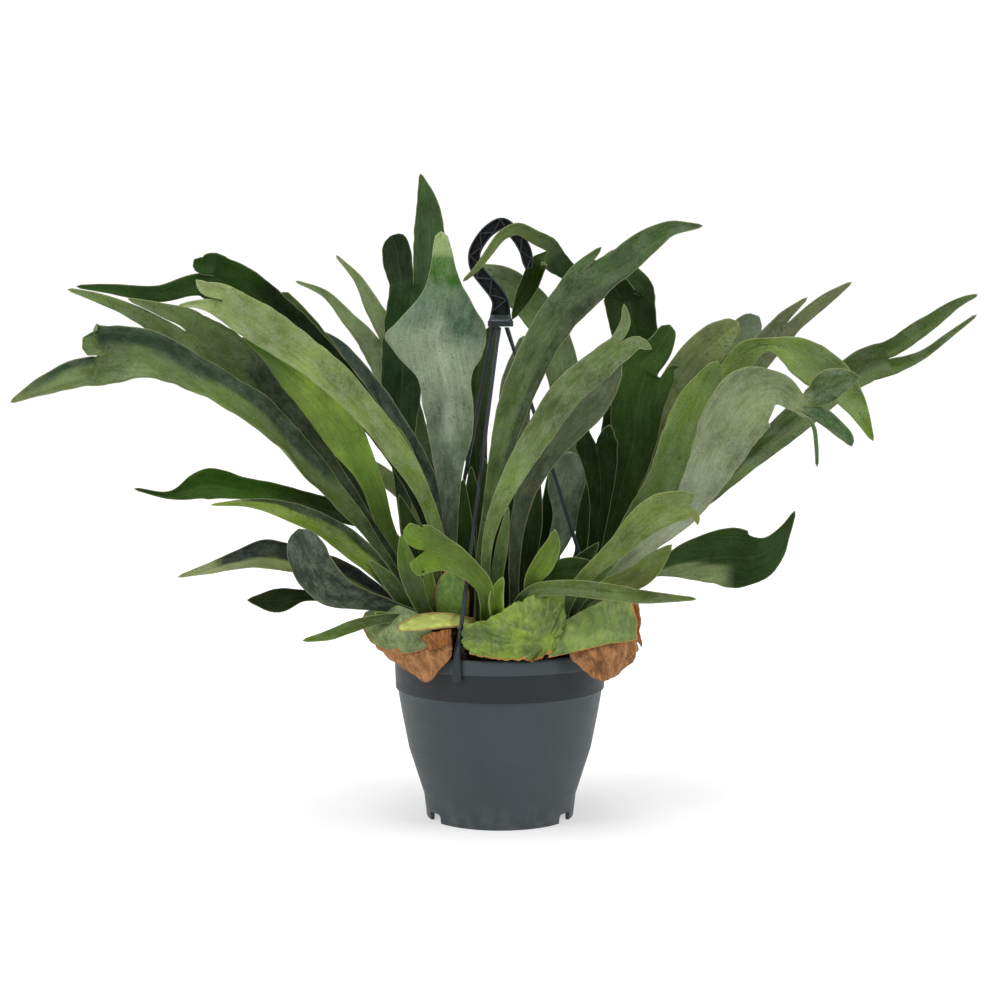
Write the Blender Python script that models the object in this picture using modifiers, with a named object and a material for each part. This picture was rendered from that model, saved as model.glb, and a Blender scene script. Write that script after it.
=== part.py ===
"""Staghorn fern in a hanging pot: turned plastic pot, clip-on hanger, potting mix, rhizomes,
shield fronds and forked antler fronds. Run with blender --background --python part.py.

Lengths are millimetres here and become metres in the scene. +Z is up, the origin is on the
floor under the middle of the pot, and the fern's fullest side faces -Y."""

import math

import bmesh
import bpy
from mathutils import Vector

MM = 0.001
GAP = 0.3  # running gap between pieces that touch

# Pot
POT_SEGMENTS = 40
RIM_TOP = 170.5
RIM_RADIUS = 106.0
FLOOR_Z = 15.0
POT_OUTER = [  # radius, height: up the outside from the foot to the rim
    (69.0, 12.0), (69.5, 0.0), (73.0, 0.0), (75.5, 22.0), (83.0, 45.5), (90.5, 69.0),
    (97.5, 105.0), (101.2, 127.0), (103.4, 129.0), (104.4, 155.0), (RIM_RADIUS, 156.5),
    (RIM_RADIUS, 168.5), (104.8, RIM_TOP),
]
POT_INNER = [  # and down the inside
    (102.0, RIM_TOP), (101.0, 131.0), (95.5, 105.0), (88.5, 69.0), (81.0, 45.5), (73.5, 22.0),
    (72.0, FLOOR_Z),
]
NOTCH_ANGLES = (60.0, 180.0, 300.0)  # about +Z from -Y
NOTCH_WIDTH = 20.0
NOTCH_HEIGHT = 9.0
DRAIN_RADIUS = 4.5
DRAIN_RING = 44.0
DRAIN_COUNT = 6

# Planting
MIX_TOP = 158.0
CROWN_TOP = 197.4
SEAT = CROWN_TOP + 0.6  # frond bases stand here
FAN = 1.0  # how much further out a frond stands, 300 mm above its seat, than its base does
STRETCH = 0.00048  # longer per mm that it leans back
STRETCH_LEVEL = 500.0
MOUND_REACH = 97.0
FROND_THICKNESS = 1.8
SHIELD_THICKNESS = 1.6

# Hanger
ARM_HALF = 2.1
HEAD_BASE = 484.0
HOOK_PATH = [  # x, z, half width, half depth down the middle of the hook's band
    (28, 541, 3.5, 3), (27, 548, 5.5, 4.5), (24, 560, 6, 4.5), (15, 574, 6, 4.5),
    (3, 584, 6, 4.5), (-9, 579, 6, 4.5), (-19, 568, 6, 4.5), (-25, 555, 6, 4.5),
    (-23, 541, 6.5, 4.5), (-14, 529, 7, 4.5), (-4, 517, 7.5, 4.5), (0.5, 507, 8.5, 5.5),
    (0.5, 496, 10, 6.5), (0.5, 490, 11, 7.5), (0.5, 489, 12.5, 9), (0.5, HEAD_BASE, 12.5, 9),
]
ARMS = {  # start x and y under the head, then the foot's angle about +Z from -Y
    "hanger_arm_front": (-1, -4, -22.0),
    "hanger_arm_right": (6.5, 2, 98.0),
    "hanger_arm_back": (-6.5, 3, 218.0),
}

def clear_scene():
    for old in list(bpy.data.objects):
        bpy.data.objects.remove(old)


def new_collection(name):
    made = bpy.data.collections.new(name)
    bpy.context.scene.collection.children.link(made)
    return made


def principled(name, colour, roughness):
    made = bpy.data.materials.new(name)
    made.use_nodes = True
    shader = made.node_tree.nodes["Principled BSDF"]
    shader.inputs["Base Color"].default_value = (*colour, 1.0)
    shader.inputs["Roughness"].default_value = roughness
    return made


def add_object(name, mesh, material, collection):
    made = bpy.data.objects.new(name, mesh)
    mesh.materials.clear()
    mesh.materials.append(material)
    collection.objects.link(made)
    return made


def around(radius, degrees, z):
    """A point on a ring: degrees are about +Z, and 0 is towards -Y."""
    turn = math.radians(degrees)
    return Vector((radius * math.sin(turn), -radius * math.cos(turn), z))


# ---------------------------------------------------------------- blades


def spline(before, start, end, after, share):
    """Catmull-Rom value between start and end, which can be numbers or vectors."""
    a = 2 * start
    b = end - before
    c = 2 * before - 5 * start + 4 * end - after
    d = 3 * start - before - 3 * end + after
    return 0.5 * (a + b * share + c * share**2 + d * share**3)


def frame_at(tangent, facing, roll):
    """Unit vectors across a blade and out of its upper face. With no roll the face looks to facing."""
    normal = facing - facing.dot(tangent) * tangent
    normal.normalize()
    across = tangent.cross(normal)
    turn = math.radians(roll)
    return (
        across * math.cos(turn) - normal * math.sin(turn),
        normal * math.cos(turn) + across * math.sin(turn),
    )


def blade_row(centre, tangent, facing, width, roll, cup, columns):
    """Points across a blade. cup is the angle through which its section bends, edges up."""
    across, normal = frame_at(tangent, facing, roll)
    bend = math.radians(cup)
    radius = width / bend
    row = []
    for column in range(columns + 1):
        angle = bend * (column / columns - 0.5)
        row.append(
            centre
            + across * radius * math.sin(angle)
            + normal * radius * (1 - math.cos(angle))
        )
    return row


def grow_blade(points, faces, first_row, leading, stations, facing, cup, steps):
    """Adds rows of quads from first_row along the stations. Returns the last row and tangent."""
    columns = len(first_row) - 1
    knots = [leading, *stations]
    knots.append(stations[-1] * 2 - stations[-2])
    row = first_row
    tangent = None
    for i in range(1, len(knots) - 2):
        for step in range(1, steps + 1):
            share = step / steps
            here = spline(*knots[i - 1 : i + 3], share)
            ahead = spline(*knots[i - 1 : i + 3], share + 0.02)
            tangent = (ahead - here).to_3d()
            tangent.normalize()
            centre = here.to_3d()
            fresh = blade_row(centre, tangent, facing, max(here[3], 2.0), here[4], cup, columns)
            start = len(points)
            points.extend(fresh)
            new_row = list(range(start, start + columns + 1))
            for j in range(columns):
                faces.append((row[j], row[j + 1], new_row[j + 1], new_row[j]))
            row = new_row
    return row, tangent


class Station(tuple):
    """x, y, z, width and roll of one place along a blade, with the sums that a spline needs."""

    def __add__(self, other):
        return Station(a + b for a, b in zip(self, other))

    def __sub__(self, other):
        return Station(a - b for a, b in zip(self, other))

    def __mul__(self, factor):
        return Station(a * factor for a in self)

    __rmul__ = __mul__

    def to_3d(self):
        return Vector(self[:3])


def fan_out(station):
    """Fronds stand apart towards their tips, those in front forwards and those behind back."""
    x, y, z, width, roll = station
    rise = max(0.0, (z - SEAT) / 300)
    lean = y * FAN * rise * rise
    longer = 1 + lean * STRETCH
    return Station((x * longer, y + lean, STRETCH_LEVEL + (z - STRETCH_LEVEL) * longer, width, roll))


def grow_lobes(points, faces, row, tangent, roll, lobes, facing, cup, steps):
    """Each lobe takes its columns of the last row, and can fork again."""
    for (low, high), stations, *further in lobes:
        share = row[low : high + 1]
        middle = sum((points[i] for i in share), Vector()) / len(share)
        width = (points[share[-1]] - points[share[0]]).length
        start = Station((*middle, width, roll))
        tail = [start, *(fan_out(s) for s in stations)]
        back = middle - tangent * (tail[1] - start).to_3d().length
        leading = Station((*back, width, roll))
        last, heading = grow_blade(points, faces, share, leading, tail, facing, cup, steps)
        deeper = further[0] if further else ()
        turned = [((a - low, b - low), *rest) for (a, b), *rest in deeper]
        grow_lobes(points, faces, last, heading, tail[-1][4], turned, facing, cup, steps)


def blade_mesh(name, stations, lobes, cup, facing, columns, steps):
    """One sheet from a level first row, which forks into its lobes after the last station."""
    points = []
    faces = []
    trunk = [fan_out(s) for s in stations]
    first = trunk[0]
    level = frame_start(trunk)
    points.extend(blade_row(first.to_3d(), level, facing, first[3], first[4], cup, columns))
    leading = first - Station((*(level * 15), 0, 0))
    row, tangent = grow_blade(
        points, faces, list(range(columns + 1)), leading, trunk, facing, cup, steps
    )
    grow_lobes(points, faces, row, tangent, trunk[-1][4], lobes, facing, cup, steps)
    mesh = bpy.data.meshes.new(name)
    mesh.from_pydata([p * MM for p in points], [], faces)
    mesh.validate()
    return mesh


def frame_start(trunk):
    """Fronds leave their seat straight up, shields the way they head."""
    if abs(trunk[0][2] - SEAT) < 0.01:
        return Vector((0, 0, 1))
    return (trunk[1] - trunk[0]).to_3d().normalized()


def add_blade(name, blade, thickness, material, collection):
    lobes = blade.get("lobes", ())
    columns = max((high for (_, high), *_ in lobes), default=2)
    mesh = blade_mesh(name, blade["trunk"], lobes, blade.get("cup", 50.0),
                      Vector(blade.get("facing", (0, -1, 0))), columns, 1)
    made = add_object(name, mesh, material, collection)
    skin = made.modifiers.new("thickness", "SOLIDIFY")
    skin.thickness = thickness * MM
    skin.offset = 0.0
    return made


# ---------------------------------------------------------------- turned and lofted bodies


def lathe(name, profile, segments):
    """Turns (radius, height) pairs that begin and end on the axis about +Z."""
    points = [(0, 0, profile[0][1] * MM)]
    faces = []
    rings = profile[1:-1]
    for radius, height in rings:
        for i in range(segments):
            points.append(around(radius, 360 * i / segments, height) * MM)
    points.append((0, 0, profile[-1][1] * MM))
    last = len(points) - 1
    for i in range(segments):
        j = (i + 1) % segments
        faces.append((0, 1 + j, 1 + i))
        for ring in range(len(rings) - 1):
            low = 1 + ring * segments
            high = low + segments
            faces.append((low + i, low + j, high + j, high + i))
        top = last - segments
        faces.append((last, top + i, top + j))
    mesh = bpy.data.meshes.new(name)
    mesh.from_pydata(points, [], faces)
    return mesh


def loft(name, rings):
    """Joins rings of as many points each, and closes both ends."""
    count = len(rings[0])
    points = [p * MM for ring in rings for p in ring]
    faces = [tuple(range(count))[::-1]]
    for r in range(len(rings) - 1):
        for i in range(count):
            j = (i + 1) % count
            a = r * count
            faces.append((a + i, a + j, a + count + j, a + count + i))
    faces.append(tuple(range(len(points) - count, len(points))))
    mesh = bpy.data.meshes.new(name)
    mesh.from_pydata(points, [], faces)
    return mesh


def face_out(mesh):
    """Turns a closed mesh's faces outwards."""
    made = bmesh.new()
    made.from_mesh(mesh)
    bmesh.ops.recalc_face_normals(made, faces=made.faces)
    made.to_mesh(mesh)
    made.free()


def chamfered_ring(centre, across, depth, half_width, half_depth, corner=0.6):
    """Eight points round a rectangle whose corners are cut."""
    pairs = [(1, -corner), (1, corner), (corner, 1), (-corner, 1),
             (-1, corner), (-1, -corner), (-corner, -1), (corner, -1)]
    return [centre + across * (u * half_width) + depth * (v * half_depth) for u, v in pairs]


def build_pot(material, collection, cutters):
    profile = [(0, POT_OUTER[0][1]), *POT_OUTER, *POT_INNER, (0, FLOOR_Z)]
    pot = add_object("pot", lathe("pot", profile, POT_SEGMENTS), material, collection)
    face_out(pot.data)
    for index, angle in enumerate(NOTCH_ANGLES):
        centre = around(POT_OUTER[2][0] - 2, angle, 0)
        out = around(1, angle, 0)
        side = out.cross(Vector((0, 0, 1)))
        rings = [
            [centre + side * (u * NOTCH_WIDTH / 2) + out * (v * 9) + Vector((0, 0, z))
             for u, v in ((-1, -1), (1, -1), (1, 1), (-1, 1))]
            for z in (-5, NOTCH_HEIGHT)
        ]
        add_cut(pot, loft("foot_notch_%d" % index, rings), cutters, material)
    for index in range(DRAIN_COUNT):
        centre = around(DRAIN_RING, 360 * (index + 0.57) / DRAIN_COUNT, 0)
        rings = [
            [centre + around(DRAIN_RADIUS, 45 * i, z) for i in range(8)] for z in (4, FLOOR_Z + 5)
        ]
        add_cut(pot, loft("drain_%d" % index, rings), cutters, material)


def add_cut(body, mesh, cutters, material):
    face_out(mesh)
    cutter = add_object(mesh.name, mesh, material, cutters)
    cutter.hide_render = True
    cutter.display_type = "WIRE"
    cut = body.modifiers.new(mesh.name, "BOOLEAN")
    cut.operation = "DIFFERENCE"
    cut.solver = "EXACT"
    cut.object = cutter


def build_mix(material, collection):
    inside = [(r - GAP, z + (GAP if z == FLOOR_Z else 0)) for r, z in POT_INNER[:0:-1]]
    top = (101.0 + 0.027 * (MIX_TOP - 131.0) - GAP, MIX_TOP)
    profile = [(0, FLOOR_Z + GAP), *inside, top, (0, MIX_TOP)]
    mix = add_object("potting_mix", lathe("potting_mix", profile, POT_SEGMENTS), material,
                     collection)
    face_out(mix.data)


MOUNDS = {  # centre x, y and half widths of each rhizome's level top
    "rhizome_left": (-72.0, -6.0, 30.0, 62.0),
    "rhizome_middle": (3.0, -4.0, 38.0, 84.0),
    "rhizome_right": (76.0, -5.0, 28.0, 62.0),
}


def build_rhizomes(material, collection):
    levels = ((0.86, MIX_TOP + GAP), (1.03, MIX_TOP + 14), (1.04, CROWN_TOP - 9), (1.0, CROWN_TOP))
    for name, (x, y, half_x, half_y) in MOUNDS.items():
        rings = []
        for scale, height in levels:
            ring = []
            for i in range(20):
                turn = math.tau * i / 20
                c, s = math.cos(turn), math.sin(turn)
                u = math.copysign(abs(c) ** 0.7, c) * half_x * scale
                v = math.copysign(abs(s) ** 0.7, s) * half_y * scale
                place = Vector((x + u, y + v, 0))
                place *= min(1.0, MOUND_REACH / place.length)
                ring.append(Vector((place.x, place.y, height)))
            rings.append(ring)
        mound = add_object(name, loft(name, rings), material, collection)
        face_out(mound.data)


def build_hook(material, collection):
    middles = [Vector((x, 0, z)) for x, z, _, _ in HOOK_PATH]
    rings = []
    for i, (_, _, half_width, half_depth) in enumerate(HOOK_PATH):
        before = middles[max(i - 1, 0)]
        after = middles[min(i + 1, len(middles) - 1)]
        heading = (after - before).normalized()
        if i >= len(HOOK_PATH) - 4:
            heading = Vector((0, 0, -1))
        across = heading.cross(Vector((0, 1, 0)))
        rings.append(
            chamfered_ring(middles[i], across, Vector((0, 1, 0)), half_width, half_depth, 0.8)
        )
    hook = add_object("hanger_hook", loft("hanger_hook", rings), material, collection)
    face_out(hook.data)


def build_arms(material, collection):
    """A round arm under the head, a flatter foot, and a tab down the outside of the rim."""
    for name, (x, y, angle) in ARMS.items():
        out = around(1, angle, 0)
        side = out.cross(Vector((0, 0, 1)))
        top = Vector((x, y, HEAD_BASE - GAP))
        foot = around(101.0, angle, 194)
        path = [(top, 2.4, 2.4)]
        for share, half in ((0.08, ARM_HALF), (0.84, ARM_HALF), (0.88, 2.9), (0.97, 2.9)):
            path.append((top.lerp(foot, share), half, half))
        path.append((around(104.0, angle, 186), 4.2, 1.8))
        path.append((around(108.2, angle, 178), 4.4, 1.5))
        path.append((around(108.2, angle, 168), 4.4, 1.4))
        path.append((around(108.2, angle, 150), 4.4, 1.4))
        rings = []
        for i, (centre, half_width, half_depth) in enumerate(path):
            heading = path[min(i + 1, len(path) - 1)][0] - path[max(i - 1, 0)][0]
            if i == 0 or i == len(path) - 1:
                heading = Vector((0, 0, -1))
            thin = heading.cross(side).normalized()
            rings.append(chamfered_ring(centre, side, thin, half_width, half_depth, 0.7))
        arm = add_object(name, loft(name, rings), material, collection)
        face_out(arm.data)


# ---------------------------------------------------------------- fronds

# Each blade: stations of x, y, z, width, roll to its fork, then lobes as (columns of the last row
# that the lobe takes, its stations, its own lobes). Columns count from the blade's left looking
# from -Y with its tip up. Roll 0 turns the upper face to -Y, and cup bends the section edges up.
FRONDS = {
    # left rhizome
    "frond_left_long": dict(
        trunk=[(-78, -24, SEAT, 10, 40), (-96, -28, 232, 11, 45), (-118, -34, 268, 14, 50),
               (-146, -46, 306, 24, 55), (-190, -70, 358, 40, 55), (-228, -92, 399, 44, 52),
               (-280, -108, 434, 44, 45), (-327, -118, 456, 50, 30), (-370, -124, 458, 58, 10)],
        lobes=[((0, 2), [(-413, -130, 433, 20, 10), (-450, -130, 416, 3, 10)]),
               ((2, 4), [(-377, -125, 472, 27, 5), (-383, -125, 475, 15, 5)])],
        cup=80,
    ),
    "frond_left_forked": dict(
        trunk=[(-76, -12, SEAT, 10, 30), (-92, -12, 232, 12, 35), (-122, -16, 278, 18, 40),
               (-155, -26, 327, 26, 40), (-189, -40, 368, 40, 35), (-224, -54, 408, 48, 28),
               (-264, -63, 456, 52, 15), (-296, -69, 480, 44, 5)],
        lobes=[((0, 2), [(-350, -78, 501, 13, 5), (-378, -82, 512, 9, 5), (-405, -84, 520, 3, 5)]),
               ((2, 4), [(-322, -74, 502, 12, 5), (-350, -78, 511, 3, 5)])],
        cup=60,
    ),
    "frond_left_bright": dict(
        trunk=[(-66, 0, SEAT, 9, 20), (-84, 0, 230, 11, 25), (-112, -2, 284, 18, 30),
               (-129, -5, 333, 26, 28), (-151, -10, 373, 42, 25), (-177, -17, 411, 48, 22),
               (-214, -26, 446, 36, 20), (-253, -28, 474, 4, 20)],
    ),
    "frond_left_pale": dict(
        trunk=[(-58, -38, SEAT, 9, 0), (-59, -42, 240, 10, 0), (-60, -46, 280, 13, 10),
               (-76, -50, 327, 17, 20), (-97, -54, 362, 24, 25), (-134, -58, 409, 30, 28),
               (-191, -62, 460, 36, 25), (-229, -66, 486, 38, 20), (-262, -68, 508, 34, 10)],
        lobes=[((0, 1), [(-286, -68, 506, 8, 5), (-305, -69, 504, 3, 5)]),
               ((1, 2), [(-280, -68, 522, 12, 5), (-287, -68, 529, 4, 5)])],
        cup=60,
    ),
    "frond_left_dark": dict(
        trunk=[(-54, 10, SEAT, 9, 0), (-60, 14, 250, 12, 0), (-80, 14, 312, 16, 10),
               (-118, 8, 382, 26, 10), (-167, 2, 441, 38, 10), (-216, -8, 490, 44, 10),
               (-254, -18, 520, 47, 5), (-278, -24, 533, 46, 0)],
        lobes=[((0, 2), [(-329, -34, 516, 16, 0), (-376, -44, 521, 9, 0), (-404, -50, 523, 3, 0)]),
               ((2, 4), [(-290, -26, 545, 16, 0), (-295, -26, 549, 7, 0)])],
        cup=40,
    ),
    "frond_left_inner": dict(
        trunk=[(-82, 14, SEAT, 9, 10), (-99, 18, 242, 12, 10), (-128, 24, 292, 16, 10),
               (-159, 24, 341, 22, 10), (-198, 18, 391, 26, 10), (-223, 14, 419, 18, 10),
               (-243, 12, 441, 3, 10)],
        cup=40,
    ),
    "frond_left_round": dict(
        trunk=[(-50, 26, SEAT, 9, 0), (-62, 30, 262, 12, 0), (-90, 34, 330, 16, 0),
               (-130, 34, 400, 22, 0), (-170, 32, 455, 24, 0), (-199, 28, 495, 20, 0),
               (-216, 26, 518, 10, 0)],
        cup=40,
    ),
    "frond_left_blue": dict(
        trunk=[(-52, 42, SEAT, 9, 0), (-56, 46, 262, 12, 0), (-72, 50, 329, 18, 0),
               (-106, 52, 384, 26, 0), (-141, 50, 434, 26, 0), (-171, 48, 468, 18, 0),
               (-189, 46, 482, 4, 0)],
        cup=40,
    ),
    "frond_left_small": dict(
        trunk=[(-62, -18, SEAT, 8, 0), (-60, -20, 240, 9, 0), (-64, -22, 294, 11, 0),
               (-83, -22, 343, 14, 0), (-99, -22, 378, 12, 0), (-113, -22, 399, 3, 0)],
        cup=40,
    ),
    "frond_low_left_back": dict(
        trunk=[(-86, 32, SEAT, 9, 20), (-92, 38, 244, 11, 30), (-120, 44, 281, 20, 40),
               (-160, 40, 296, 26, 45), (-209, 30, 311, 26, 45), (-258, 18, 322, 28, 40),
               (-292, 10, 327, 34, 30), (-324, 6, 318, 10, 20), (-361, 2, 325, 3, 20)],
        cup=60,
    ),
    "frond_low_left_light": dict(
        trunk=[(-86, -33, SEAT, 9, 20), (-104, -52, 233, 16, 35), (-130, -58, 262, 28, 42),
               (-163, -64, 287, 30, 42), (-201, -68, 306, 24, 42), (-238, -72, 316, 12, 40),
               (-275, -76, 316, 3, 40)],
        cup=70,
    ),
    "frond_low_left_twotone": dict(
        trunk=[(-92, -20, SEAT, 9, 30), (-108, -30, 216, 12, 35), (-130, -40, 232, 22, 40),
               (-160, -50, 248, 30, 45), (-200, -60, 259, 34, 45), (-228, -66, 264, 34, 40),
               (-250, -70, 261, 22, 35), (-278, -74, 254, 12, 30), (-307, -76, 247, 3, 30)],
        cup=80,
    ),
    "frond_low_left_broad": dict(
        trunk=[(-80, -46, SEAT, 10, 0), (-104, -62, 216, 13, 0), (-136, -77, 227, 22, 0),
               (-160, -86, 238, 36, 0), (-175, -90, 257, 40, 0), (-184, -92, 278, 36, 0),
               (-190, -94, 295, 20, 0)],
        cup=30,
    ),
    "frond_low_left_point": dict(
        trunk=[(-94, -6, SEAT, 8, 10), (-122, -22, 212, 9, 10), (-156, -40, 220, 9, 10),
               (-190, -52, 226, 12, 10), (-214, -58, 222, 24, 10), (-243, -62, 223, 3, 10)],
        cup=30,
    ),
    "frond_low_left_short": dict(
        trunk=[(-76, -58, SEAT, 8, 0), (-98, -71, 207, 9, 0), (-120, -80, 206, 10, 0), (-140, -84, 201, 12, 0),
               (-162, -86, 193, 10, 0), (-188, -84, 187, 3, 0)],
        cup=40,
    ),
    "frond_young_left": dict(
        trunk=[(-64, -60, SEAT, 10, 0), (-74, -68, 216, 14, 0), (-81, -74, 236, 19, 0),
               (-89, -78, 262, 18, 0), (-94, -80, 288, 3, 0)],
        cup=40,
    ),
    "frond_back_left_pale": dict(
        trunk=[(-64, 52, SEAT, 9, 0), (-68, 70, 250, 12, 0), (-82, 84, 292, 14, 0),
               (-116, 92, 328, 18, 0), (-142, 92, 344, 14, 0), (-169, 92, 348, 3, 0)],
        cup=40,
    ),
    "frond_back_antler": dict(
        trunk=[(-20, 58, SEAT, 10, 0), (-38, 68, 250, 13, 0), (-58, 76, 310, 18, 0),
               (-87, 84, 377, 28, 0), (-110, 90, 440, 40, 0), (-121, 92, 466, 45, 0)],
        lobes=[((0, 2), [(-155, 94, 492, 15, 0), (-180, 98, 518, 8, 0), (-209, 102, 530, 3, 0)]),
               ((2, 4), [(-129, 92, 503, 18, 0), (-144, 94, 531, 10, 0), (-167, 98, 556, 3, 0)])],
        cup=30,
    ),
    "frond_back_tall": dict(
        trunk=[(-80, 44, SEAT, 10, 0), (-92, 52, 262, 13, 0), (-98, 60, 320, 17, 0),
               (-100, 66, 372, 28, 0), (-100, 68, 409, 40, 0), (-96, 70, 470, 47, 0),
               (-88, 72, 520, 50, 0)],
        lobes=[((0, 2), [(-103, 74, 549, 32, 0), (-106, 75, 567, 28, 0), (-110, 75, 575, 20, 0)]),
               ((2, 4), [(-71, 74, 571, 34, 0), (-73, 75, 607, 23, 0), (-80, 76, 637, 3, 0)])],
        cup=40,
    ),
    # middle rhizome
    "frond_blue_front": dict(
        trunk=[(-48, -24, SEAT, 10, 0), (-48, -30, 250, 11, 0), (-48, -38, 300, 16, 0),
               (-49, -42, 346, 27, 0), (-48, -44, 384, 43, 0), (-50, -45, 410, 49, 0),
               (-54, -46, 438, 53, 0), (-58, -47, 458, 82, 0), (-60, -48, 475, 96, 0),
               (-57, -49, 490, 82, 0), (-54, -49, 504, 60, 0), (-53, -49, 519, 40, 0),
               (-54, -48, 538, 25, 0), (-55, -47, 558, 18, 0), (-56, -46, 575, 10, 0)],
        cup=36,
    ),
    "frond_strap_front": dict(
        trunk=[(-20, -30, SEAT, 9, 0), (-20, -35, 250, 9, 0), (-11, -41, 310, 12, 0),
               (-1, -48, 354, 21, 0), (11, -52, 402, 29, -5), (29, -55, 447, 33, -10),
               (53, -59, 490, 37, -12), (84, -62, 527, 42, -12)],
        lobes=[((0, 1), [(87, -62, 551, 8, -5), (96, -62, 560, 3, -5)]),
               ((1, 4), [(116, -66, 546, 28, -12), (138, -70, 563, 25, -12),
                         (160, -74, 576, 15, -10), (190, -78, 579, 3, -10)])],
        cup=44,
    ),
    "frond_strap_lower": dict(
        trunk=[(-10, -48, SEAT, 9, 0), (-14, -54, 244, 9, 0), (-10, -60, 288, 12, 0),
               (1, -66, 320, 17, 0), (15, -70, 348, 22, 0), (38, -76, 386, 27, -5),
               (66, -82, 426, 30, -8), (95, -86, 451, 28, -8), (113, -88, 466, 25, -5)],
        lobes=[((0, 1), [(117, -88, 488, 10, 0), (116, -88, 506, 3, 0)]),
               ((1, 3), [(130, -89, 470, 12, 0), (142, -90, 464, 4, 0)])],
        cup=44,
    ),
    "frond_olive_inner": dict(
        trunk=[(14, -20, SEAT, 9, 0), (14, -24, 250, 11, 0), (17, -26, 290, 15, 0),
               (26, -29, 326, 20, 0), (45, -33, 362, 26, 0), (70, -39, 389, 28, 0),
               (93, -44, 413, 26, 0), (108, -48, 440, 18, 0), (115, -50, 461, 3, 0)],
        cup=40,
    ),
    "frond_crumpled": dict(
        trunk=[(26, 48, SEAT, 10, 0), (44, 52, 250, 13, 0), (61, 56, 308, 18, 0),
               (67, 60, 389, 30, 0), (61, 62, 449, 36, 0), (40, 58, 495, 36, 0),
               (15, 52, 521, 34, 0), (-8, 46, 535, 26, 0), (-22, 44, 543, 9, 0)],
        cup=50,
    ),
    "frond_middle_dark": dict(
        trunk=[(-4, 46, SEAT, 9, 0), (-12, 54, 262, 12, 0), (-22, 60, 329, 20, 0),
               (-25, 62, 409, 30, 0), (-15, 62, 465, 24, 0), (-1, 60, 490, 4, 0)],
        cup=40,
    ),
    "frond_middle_grey": dict(
        trunk=[(12, 32, SEAT, 9, 0), (14, 36, 262, 12, 0), (14, 40, 359, 24, 0),
               (17, 42, 428, 32, 0), (24, 42, 475, 8, 0)],
        cup=40,
    ),
    "frond_grey_round": dict(
        trunk=[(30, 16, SEAT, 9, 0), (48, 22, 250, 15, 0), (66, 28, 292, 28, 0),
               (69, 30, 330, 44, 0), (69, 30, 350, 36, 0), (69, 30, 360, 16, 0)],
        cup=30,
    ),
    "frond_front_forked": dict(
        trunk=[(-14, -70, SEAT, 10, 0), (-12, -78, 221, 14, 0), (-16, -86, 241, 17, 0),
               (-30, -92, 257, 21, 0), (-47, -96, 268, 27, 0), (-64, -98, 274, 38, 0),
               (-77, -99, 275, 48, 0)],
        lobes=[((0, 2), [(-81, -100, 256, 14, 0), (-78, -100, 248, 4, 0)]),
               ((2, 4), [(-87, -99, 292, 15, 0), (-94, -98, 302, 4, 0)])],
        cup=36,
    ),
    "frond_front_strap": dict(
        trunk=[(14, -58, SEAT, 10, 0), (20, -70, 222, 12, -10), (33, -81, 234, 14, -20),
               (57, -90, 238, 16, -25), (94, -98, 236, 18, -25), (131, -106, 232, 14, -20),
               (184, -114, 231, 3, -20)],
        cup=50,
    ),
    "frond_young_front": dict(
        trunk=[(28, -56, SEAT, 9, 0), (29, -63, 222, 11, 0), (31, -71, 243, 16, 0),
               (43, -78, 263, 21, 0), (50, -82, 279, 16, 0), (52, -84, 294, 3, 0)],
        cup=50,
    ),
    "frond_dark_wavy": dict(
        trunk=[(36, -38, SEAT, 10, 0), (34, -46, 224, 14, 0), (42, -52, 240, 20, 0),
               (62, -56, 250, 26, 0), (84, -58, 252, 20, 0), (100, -60, 250, 4, 0)],
        cup=30,
    ),
    # right rhizome
    "frond_right_arching": dict(
        trunk=[(56, 42, SEAT, 10, 0), (80, 52, 250, 14, 0), (101, 60, 308, 20, 0),
               (120, 70, 388, 34, 0), (138, 76, 456, 46, 0), (130, 72, 512, 54, 0)],
        lobes=[((0, 4), [(91, 60, 542, 20, 0), (73, 44, 537, 17, 0), (57, 28, 547, 24, 0),
                         (46, 12, 557, 28, 0)],
                [((0, 2), [(36, 16, 542, 18, 0), (28, 20, 524, 19, 0), (19, 22, 506, 13, 0),
                           (12, 22, 491, 3, 0)]),
                 ((2, 4), [(34, -8, 571, 14, 0), (17, -10, 579, 12, 0), (3, -13, 573, 10, 0),
                           (-10, -17, 557, 8, 0), (-22, -19, 541, 6, 0), (-36, -20, 528, 3, 0)])]),
               ((4, 6), [(118, 70, 545, 30, 0), (114, 70, 561, 22, 0)])],
        cup=36,
    ),
    "frond_right_blunt": dict(
        trunk=[(78, -14, SEAT, 10, 0), (84, -14, 235, 12, 0), (93, -14, 272, 15, 0),
               (98, -14, 314, 22, 0), (98, -14, 343, 32, 0), (94, -14, 370, 42, 0)],
        lobes=[((0, 2), [(82, -14, 387, 6, 0)]), ((2, 4), [(107, -14, 389, 6, 0)])],
        cup=30,
    ),
    "frond_right_dark": dict(
        trunk=[(70, 20, SEAT, 10, 0), (84, 21, 226, 11, 0), (99, 22, 254, 13, 0),
               (112, 22, 293, 25, 0), (123, 22, 332, 38, 0), (133, 22, 371, 46, 0),
               (136, 22, 408, 54, 0), (144, 22, 438, 60, 0)],
        lobes=[((0, 3), [(158, 22, 464, 28, 0), (168, 22, 486, 16, 0)]),
               ((3, 4), [(172, 22, 444, 6, 0), (178, 22, 444, 3, 0)])],
        cup=40,
    ),
    "frond_right_pale": dict(
        trunk=[(84, -42, SEAT, 10, 0), (98, -46, 228, 12, 0), (117, -51, 253, 14, -5),
               (145, -58, 279, 19, -8), (175, -66, 308, 27, -8), (192, -70, 337, 38, -8),
               (208, -74, 370, 50, -8), (225, -78, 402, 60, -8), (242, -81, 421, 58, -6),
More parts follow.
